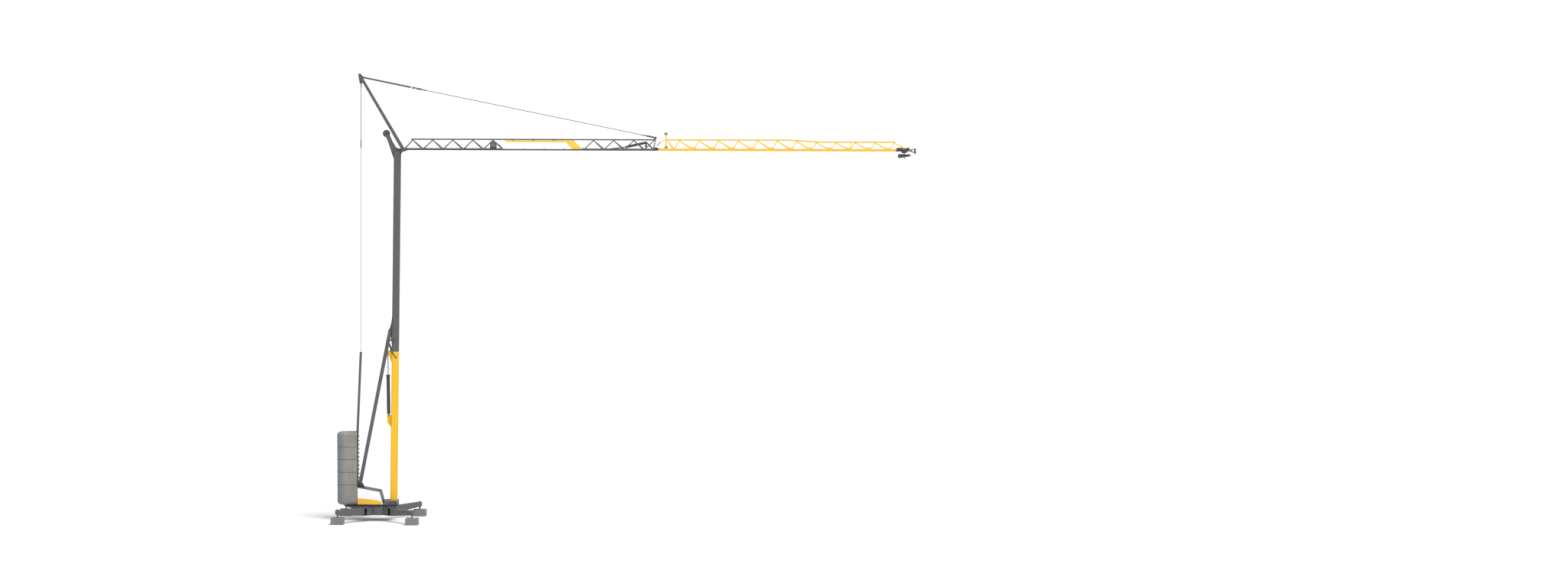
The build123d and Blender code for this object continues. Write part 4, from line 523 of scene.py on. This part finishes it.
def corner_turn(finish):
    """Height that falls like a circle toward the edges of each face of the leaning tube, below its top. It
    ends a little before the circle stands upright."""
    total = 0.0
    limits = {"Min": 0.0, "Max": corner_radius * 0.94}
    for across in (finish.x - (finish.z * mast_lean + mast_foot), finish.y):
        past = finish.node("Clamp", {}, {"Value": abs(across) - (mast_half - corner_radius), **limits})
        total = total + finish.maths("SQRT", corner_radius ** 2 - past * past)
    return total * (finish.z < mast_top)


yellow_colour, yellow_dust, yellow_roughness = linear(238, 183, 10), linear(228, 177, 38), 0.38
yellow_mast = painted_steel("yellow_mast_paint", yellow_colour, yellow_dust, yellow_roughness, corner_turn)
grey_mast = painted_steel("grey_mast_paint", grey_shade, grey_dust, rounding=corner_turn)
wear(["lower_mast"], yellow_mast)
wear(["upper_mast"], grey_mast)


# Long strut and folding links. The legs are box sections and the links plain plate, sprayed grey. Each pin
# has a washer and a broken edge.
strut_end, link_face, rod_end, cylinder_end = 0.159, 0.194, 0.075, 0.080
strut_foot, strut_head = (-0.972, 1.870), (0.640, 9.900)
knee, lower_pin, upper_pin = (0.500, 9.340), (0.790, 8.700), (0.880, 9.405)
latch_foot, latch_top = (0.960, 8.480), (0.655, 8.850)
rod_eye, cylinder_foot = (0.507, 8.700), (0.538, 5.460)
common_pin = 0.024
grey = painted_steel("grey_paint", grey_shade, grey_dust)
wear(["mast_strut", "fold_links"], grey)
mast_gear = [(*strut_foot, strut_end), (*strut_head, strut_end), (*knee, link_face), (*lower_pin, link_face),
             (*upper_pin, link_face), (*latch_foot, link_face), (*latch_top, link_face), (*rod_eye, rod_end),
             (*cylinder_foot, cylinder_end)]
piece("mast_gear_pins", "superstructure", "dark_trim", dark, *pin_heads(mast_gear, common_pin))


# Head wheel. A grooved steel wheel, grey with a dark rim, on an axle between the cheeks of the mast's head.
# Broad nuts close the axle's ends.
axle_nut, rim_inner, rim_outer = 0.03, 0.136, 0.142
wheel_low, wheel_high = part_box("head_sheave")
axle_x, axle_z = (wheel_low.x + wheel_high.x) / 2, (wheel_low.z + wheel_high.z) / 2
piece("head_wheel_nuts", "superstructure", "dark_trim", dark,
      *pin_heads([(axle_x, axle_z, wheel_high.y)], axle_nut))
wheel = painted_steel("head_wheel_paint", linear(92, 92, 94), grey_dust)
u, v = wheel.x - axle_x, wheel.z - axle_z
wheel.over(wheel.ramp(wheel.maths("SQRT", u * u + v * v), rim_inner, rim_outer), linear(50, 50, 52))
wear(["head_sheave"], wheel)


# Folding cylinder. Its rod is hard chromed. A drawn steel pipe runs up the barrel's far side to the gland,
# held by two clips and bent round at both ends into a screwed union.
def carried(path, profile, side, turns=0.0):
    """A closed profile of (across, up) points carried along a path, turned evenly by turns on the way:
    point = path + across * side + up * normal. The end rows are drawn in to the middle to close both ends."""
    path = np.asarray(path, float)
    along = np.gradient(path, axis=-2)
    along = along / np.linalg.norm(along, axis=-1, keepdims=True)
    side = np.asarray(side, float) - along * (along * side).sum(axis=-1, keepdims=True)
    side = side / np.linalg.norm(side, axis=-1, keepdims=True)
    normal = np.cross(along, side)
    across, up = np.asarray(profile, float).T
    angle = np.linspace(0, 2 * np.pi * turns, path.shape[-2])[:, None]
    u = across * np.cos(angle) - up * np.sin(angle)
    v = across * np.sin(angle) + up * np.cos(angle)
    rings = path[..., None, :] + u[..., None] * side[..., None, :] + v[..., None] * normal[..., None, :]
    first = np.broadcast_to(path[..., :1, None, :], rings[..., :1, :, :].shape)
    last = np.broadcast_to(path[..., -1:, None, :], rings[..., -1:, :, :].shape)
    return np.concatenate([first, rings, last], axis=-3)


def ring(radius, sides):
    """Outline of a round bar."""
    turn = np.arange(sides) * 2 * np.pi / sides
    return np.stack([radius * np.cos(turn), radius * np.sin(turn)], axis=1)


chrome = Finish("hard_chrome", roughness=0.16, metallic=1.0)
film = chrome.noise(scale=6, stretch=(8.0, 8.0, 1.0))
chrome.feed("Base Color", chrome.mix(film, linear(196, 198, 202), linear(164, 166, 172)))
chrome.feed("Roughness", film * 0.16 + 0.08)
wear(["fold_cylinder_rod"], chrome)

pipe_radius, bend_radius, clip_radius, clip_half = 0.008, 0.03, 0.014, 0.02
pipe_x, pipe_y, pipe_low, pipe_high = 0.530, 0.108, 5.72, 7.47
clip_heights, clip_inset = (6.1, 7.1), 0.004
union_radius, union_high, union_inset = 0.013, 0.018, 0.012
bend = np.linspace(0, np.pi / 2, 9)
turn_in = points(0.0, -bend_radius * (1 - np.sin(bend)), bend_radius * np.cos(bend))
lower_end = np.array([pipe_x, pipe_y, pipe_low]) + turn_in * (1, 1, -1)
upper_end = np.array([pipe_x, pipe_y, pipe_high]) + turn_in[::-1]
unions = np.stack([lower_end[0], upper_end[-1]]) - (0, union_inset, 0)
pipe_clips = points(pipe_x, pipe_y - clip_inset, clip_heights)
piece("cylinder_oil_pipe", "superstructure", "worn_steel", bright,
      carried(np.concatenate([lower_end, upper_end]), ring(pipe_radius, 12), (1, 0, 0)),
      turned(drum(clip_radius, -clip_half, clip_half), 12, pipe_clips, upright),
      turned(stud(union_radius, 0, union_high, down=0.002), 6, unions, (0, 1, 0)))


# Outer jib. A lattice of square tubes and angle bars, sprayed yellow. Where two bars meet on a bottom
# chord, a plate gusset is welded on outside them.
jib_z, jib_depth, chord_half, half_gauge, apex_gauge = 19.29, 0.51, 0.035, 0.31, 0.024
first_bottom, outer_pitch, bottom_count = 16.365, 1.008, 11
gusset_thick = 0.008
yellow = painted_steel("yellow_paint", yellow_colour, yellow_dust, yellow_roughness)
wear(named("outer_jib"), yellow)
lean = np.array([0.0, half_gauge - apex_gauge, jib_depth - chord_half])
lean = lean / np.linalg.norm(lean)
near_foot = points(first_bottom + outer_pitch * np.arange(bottom_count), -half_gauge, jib_z)
near_gusset = [(-0.250, 0.030), (0.120, 0.030), (0.075, 0.135), (-0.185, 0.135)]
far_gusset = [(-u, v) for u, v in near_gusset[::-1]]
piece("outer_jib_gussets", "jib", "yellow_paint", yellow,
      plates(near_gusset, near_foot, (1, 0, 0), lean, gusset_thick),
      plates(far_gusset, near_foot * mirror, (-1, 0, 0), lean * mirror, gusset_thick))


# Foot frame of the outer jib. Yellow like its lattice, with two black guide wheels on bright pins, and the
# sloping catch that grips the inner length is black too.
guide_x, guide_heights = 14.955, (19.415, 20.110)
guide_radius, guide_half, guide_pin_end, catch_end = 0.0815, 0.0185, 0.035, 14.68
hinge_paint = painted_steel("foot_frame_paint", yellow_colour, yellow_dust, yellow_roughness)
black = hinge_paint.below(hinge_paint.x, catch_end, blur=0.003)
for height in guide_heights:
    u, v = hinge_paint.x - guide_x, hinge_paint.z - height
    black = black + (u * u + v * v < guide_radius ** 2) * (abs(hinge_paint.y) < guide_half)
hinge_paint.over(hinge_paint.ramp(black, 0.0, 1.0), linear(52, 52, 54))
wear(["outer_hinge_frame"], hinge_paint)
piece("guide_wheel_pins", "jib", "worn_steel", bright,
      *pin_heads([(guide_x, height, guide_pin_end) for height in guide_heights], common_pin))


# Inner jib with its root and its fold. A grey lattice like the outer one's, with collars on the root shaft,
# and pin heads at the fold cylinder, its link and the link of the stay.
wear(named("inner_jib") + ["inner_end_frame", "jib_root_shaft"], grey)
root_x, collar_radius, collar_half = 1.353, 0.052, 0.006
collars = points(root_x, [-0.180, -0.108, 0.108, 0.180], jib_z)
piece("root_shaft_collars", "jib", "grey_paint", grey,
      turned(drum(collar_radius, -collar_half, collar_half), 24, collars, (0, 1, 0)))
fold_rod_eye, fold_link_toe, stay_link = (13.950, 19.660), (14.225, 19.390), (14.440, 19.905)
fold_end, stay_link_end = 0.083, 0.031
fold_gear = [(*fold_rod_eye, fold_end), (*fold_link_toe, fold_end), (*stay_link, stay_link_end)]
piece("jib_fold_pins", "jib", "dark_trim", dark, *pin_heads(fold_gear, common_pin))


# Trolley winch in the jib. A sprayed steel housing, grey above, over a dark guard round the drum. The guard's
# level slots are drawn as darker stripes in its colour, a painted shade for the hollows of the slots.
guard_high, slot_wave = 0.160, 210
winch_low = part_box("jib_winch")[0]
winch_paint = painted_steel("winch_paint", grey_shade, grey_dust)
# painted shade: the slots are darker stripes in the colour, standing for the shade in their hollows
slot_shade = winch_paint.ramp(winch_paint.maths("SINE", winch_paint.z * slot_wave), 0.2, 0.7)
guard_colour = winch_paint.mix(slot_shade, linear(34, 34, 36), linear(58, 58, 60))
guard = winch_paint.below(winch_paint.z, winch_low.z + guard_high, blur=0.005)
winch_paint.over(guard, guard_colour)
wear(["jib_winch"], winch_paint)


# Sign on the jib. A white sheet with a yellow edge along its top and a slanting yellow field at its front
# end. Clips screwed to the lattice nodes hold it above and below.
field_rear, field_rear_slant, field_front, field_front_slant = 9.70, 0.42, 10.20, 0.48
edge_deep, edge_rear, edge_rear_slant, edge_front = 0.10, 6.60, 0.5, 9.75
board_low, board_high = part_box("sign_board")
board = Finish("sign_sheet", roughness=0.4)
slant = 1 - board.ramp(board.z, board_low.z, board_high.z)
field = board.x > slant * field_rear_slant + field_rear
field = field * (board.x < slant * field_front_slant + field_front)
edge = (board.z > board_high.z - edge_deep) * (board.x < edge_front)
edge = edge * (board.x > slant * edge_rear_slant + edge_rear)
weather = board.noise(scale=1.6, detail=4)
yellow_share = board.maths("MAXIMUM", field, edge)
board.feed("Base Color", board.mix(yellow_share, linear(243, 243, 242), linear(224, 178, 22)))
board.over(board.ramp(weather, 0.45, 0.8) * 0.14, linear(205, 203, 198))
board.feed("Roughness", weather * 0.2 + 0.3)
wear(["sign_board"], board)

inner_pitch, bays_to_board = 1.04, 5
low_clips, low_shift, low_rise, low_screw = 4, 0.05, 0.020, 0.036
high_clips, high_shift, high_rise, high_screw = 3, 0.54, 0.515, 0.014
clip_thick, clip_out = 0.004, 0.017
out_board = np.cross((1.0, 0.0, 0.0), lean)


def clip_feet(count, shift, rise):
    """Places on the leaning near face, one a bay from the board's rear end: shift along and rise up."""
    node_x = root_x + inner_pitch * (bays_to_board + np.arange(count))
    return points(node_x + shift, -half_gauge, jib_z) + lean * rise + out_board * clip_out


low_feet = clip_feet(low_clips, low_shift, low_rise)
high_feet = clip_feet(high_clips, high_shift, high_rise)
clip = oblong(0.03, 0.0, 0.05)
knob = stud(0.011, 0, 0.012)
piece("sign_clips", "jib", "grey_paint", grey,
      plates(clip, low_feet, (1, 0, 0), lean, clip_thick),
      plates(clip, high_feet, (1, 0, 0), lean, clip_thick),
      turned(knob, 6, low_feet + lean * low_screw + out_board * clip_thick, out_board),
      turned(knob, 6, high_feet + lean * high_screw + out_board * clip_thick, out_board))


# Stay, jib strut and guy. Bars and strut are grey plate. The cables have six strands with a long lay, and
# are pressed into tapered sockets at their ends. A long coupling joins the guy's rope to its heavier cable.
wear(["stay_bars", "top_strut", "guy_rod"], grey)
rope = Finish("galvanised_rope", roughness=0.45, metallic=0.5)
weather = rope.noise(scale=20)
rope.feed("Base Color", rope.mix(rope.ramp(weather, 0.35, 0.7), linear(118, 118, 120), linear(88, 88, 90)))
rope.feed("Roughness", weather * 0.25 + 0.35)
strand_count, strand_depth = 6, 0.07


def laid(start, end, radius, lay, step=0.014, columns=18):
    """A rope between two points. Its outline's radius swells once for each strand on the way round, and the
    strands go once round in each length of lay."""
    turn = np.arange(columns) * 2 * np.pi / columns
    lobed = radius * (1 - strand_depth + strand_depth * np.cos(strand_count * turn))
    outline = np.stack([lobed * np.cos(turn), lobed * np.sin(turn)], axis=1)
    start, end = np.array(start, float), np.array(end, float)
    long = np.linalg.norm(end - start)
    path = start + np.linspace(0, 1, int(long / step))[:, None] * (end - start)
    return carried(path, outline, (0, 1, 0), long / lay)


def socket(long, wide, narrow):
    """Profile of a pressed socket, from its eye to the rope: a sleeve, then a cone down to the rope."""
    return [(0, 0), (wide, 0), (wide, 0.55 * long), (narrow * 1.15, long), (0, long)]


cable_radius, cable_lay = 0.020, 0.26
rope_radius, rope_lay = 0.013, 0.17
short_socket = socket(0.30, 0.032, cable_radius)
long_socket = socket(0.34, 0.034, cable_radius)
stay_low, stay_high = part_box("stay_rope")
stay_top = np.array([stay_low.x, 0.0, stay_high.z - cable_radius])
stay_foot = np.array([stay_high.x, 0.0, stay_low.z + cable_radius])
stay_run = (stay_foot - stay_top) / np.linalg.norm(stay_foot - stay_top)
stay = piece("stay_cable", "jib", "steel_rope", rope,
             laid(stay_top, stay_foot, cable_radius, cable_lay), smooth=True)
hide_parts("stay_rope")
piece("stay_sockets", "jib", "steel_rope", rope, turned(long_socket, 24, stay_top, stay_run),
      turned(short_socket, 24, stay_foot, -stay_run))

guy_knee, guy_head = np.array([-0.893, 0.0, 8.70]), np.array([-0.800, 0.0, 22.74])
guy_span = guy_head - guy_knee
guy_run = guy_span / np.linalg.norm(guy_span)


def guy_at(z):
    """The point of the guy's straight line at a height."""
    return guy_knee + guy_span * (z - guy_knee[2]) / guy_span[2]


rope_foot, coupling_foot, coupling_long, grip = 8.55, 19.30, 0.50, 0.02
sleeve, waist = 0.033, 0.026
coupling = [(0, 0), (0.014, 0), (0.030, 0.10), (sleeve, 0.13), (sleeve, 0.30), (waist, 0.31), (waist, 0.33),
            (sleeve, 0.34), (sleeve, 0.42), (0.021, coupling_long), (0, coupling_long)]
eye = drum(0.050, -0.024, 0.024)
long_rope = laid(guy_at(rope_foot), guy_at(coupling_foot + grip), rope_radius, rope_lay)
head_cable = laid(guy_at(coupling_foot + coupling_long - grip), guy_head, cable_radius, cable_lay)
guy_rope = piece("guy_cable", "guy_upper", "steel_rope", rope, long_rope, head_cable, smooth=True)
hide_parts("guy_rope")
piece("guy_sockets", "guy_upper", "steel_rope", rope, turned(coupling, 24, guy_at(coupling_foot), guy_run),
      turned(short_socket, 24, guy_head, -guy_run), turned(eye, 28, guy_head, (0, 1, 0)))

guy_anchor, guy_anchor_end = (-1.22, 1.78), 0.066
stay_head, stay_head_end = (-0.766, 23.000), 0.107
guy_head_end, guy_pin_radius, guy_pin_half = 0.089, 0.02, 0.085
piece("guy_foot_pin", "guy_lower", "dark_trim", dark,
      *pin_heads([(*guy_anchor, guy_anchor_end)], common_pin))
piece("strut_head_pins", "jib", "dark_trim", dark,
      *pin_heads([(guy_head[0], guy_head[2], guy_head_end), (*stay_head, stay_head_end)], common_pin),
      turned(drum(guy_pin_radius, -guy_pin_half, guy_pin_half), 20, guy_head, (0, 1, 0)))


# Hoist rope between trolley and block: two parts of the same rope, which pay out as the hook goes down.
# Their strands are in the shading, so that they keep their lay at any length: a bump, and darker stripes
# along the grooves between the strands, which are painted shade.
strand_wave_up, strand_wave_across = 180, 220
falls = Finish("hoist_rope", roughness=0.45, metallic=0.5)
lay = falls.maths("SINE", falls.z * strand_wave_up + falls.x * strand_wave_across)
# painted shade: the grooves between the strands are darker in the colour, following the bump's low parts
falls.feed("Base Color", falls.mix(falls.ramp(lay, -0.4, 0.4), linear(70, 70, 71), linear(122, 122, 124)))
falls.bump(lay, 0.0015)
wear(["hoist_falls", "guy_rope", "stay_rope"], falls)
falls_low, falls_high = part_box("hoist_falls")
falls_radius, drop = falls_high.y, falls_high.z - falls_low.z
parts_x = np.array([falls_low.x + falls_radius, falls_high.x - falls_radius])
hauled = piece("hoist_rope_parts", None, "steel_rope", falls,
               turned(drum(falls_radius, 0, drop), 20, points(parts_x, 0.0, falls_low.z), upright))
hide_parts("hoist_falls")
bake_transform(hauled)


# Trolley, block and hook. Wheels and hook are bare worn steel. Hubs on the side plates close the wheel
# axles, and pins with broad heads hold the swinging head and the block's wheel. A sprung latch closes the
# hook's mouth.
worn = Finish("worn_steel", roughness=0.4, metallic=0.55)
rub = worn.noise(scale=9, detail=5)
worn.feed("Base Color", worn.mix(worn.ramp(rub, 0.35, 0.7), linear(92, 92, 94), linear(66, 65, 64)))
worn.feed("Roughness", rub * 0.3 + 0.28)
worn.bump(worn.noise(scale=90), 0.0006)
wear(["trolley_wheels", "hook"], worn)

roller_radius = 0.04
plate_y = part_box("trolley_frame")[1].y
roller_low, roller_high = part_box("trolley_wheels")
roller_z = (roller_low.z + roller_high.z) / 2
roller_x = np.linspace(roller_low.x + roller_radius, roller_high.x - roller_radius, 3)
hub = [(0, 0), (0.047, 0), (0.047, 0.007), (0.030, 0.012), (0.030, 0.020), (0.026, 0.023), (0, 0.023)]
near_hubs = points(roller_x, -plate_y, roller_z)
piece("trolley_hubs", "trolley", "dark_trim", dark, *both_sides(hub, 24, near_hubs))

falls_pivot, falls_cheek, falls_pin = (27.235, 19.175), 0.049, 0.016
block_wheel, block_peg, block_cheek = (27.0, 19.0), (27.5165, 19.0357), 0.034
piece("falls_pin_heads", "falls", "worn_steel", bright,
      *pin_heads([(*falls_pivot, falls_cheek)], falls_pin))
piece("block_pin_heads", "hook_block", "worn_steel", bright,
      *pin_heads([(*block_wheel, block_cheek), (*block_peg, block_cheek)], common_pin))

latch_hinge, latch_end = (27.223, 0.0, 18.917), (27.205, 0.0, 18.870)
latch_half, latch_thin = 0.009, 0.0015
piece("hook_latch", "hook", "worn_steel", bright,
      carried([latch_hinge, latch_end], oblong(latch_half, -latch_thin, latch_thin), (0, 1, 0)))
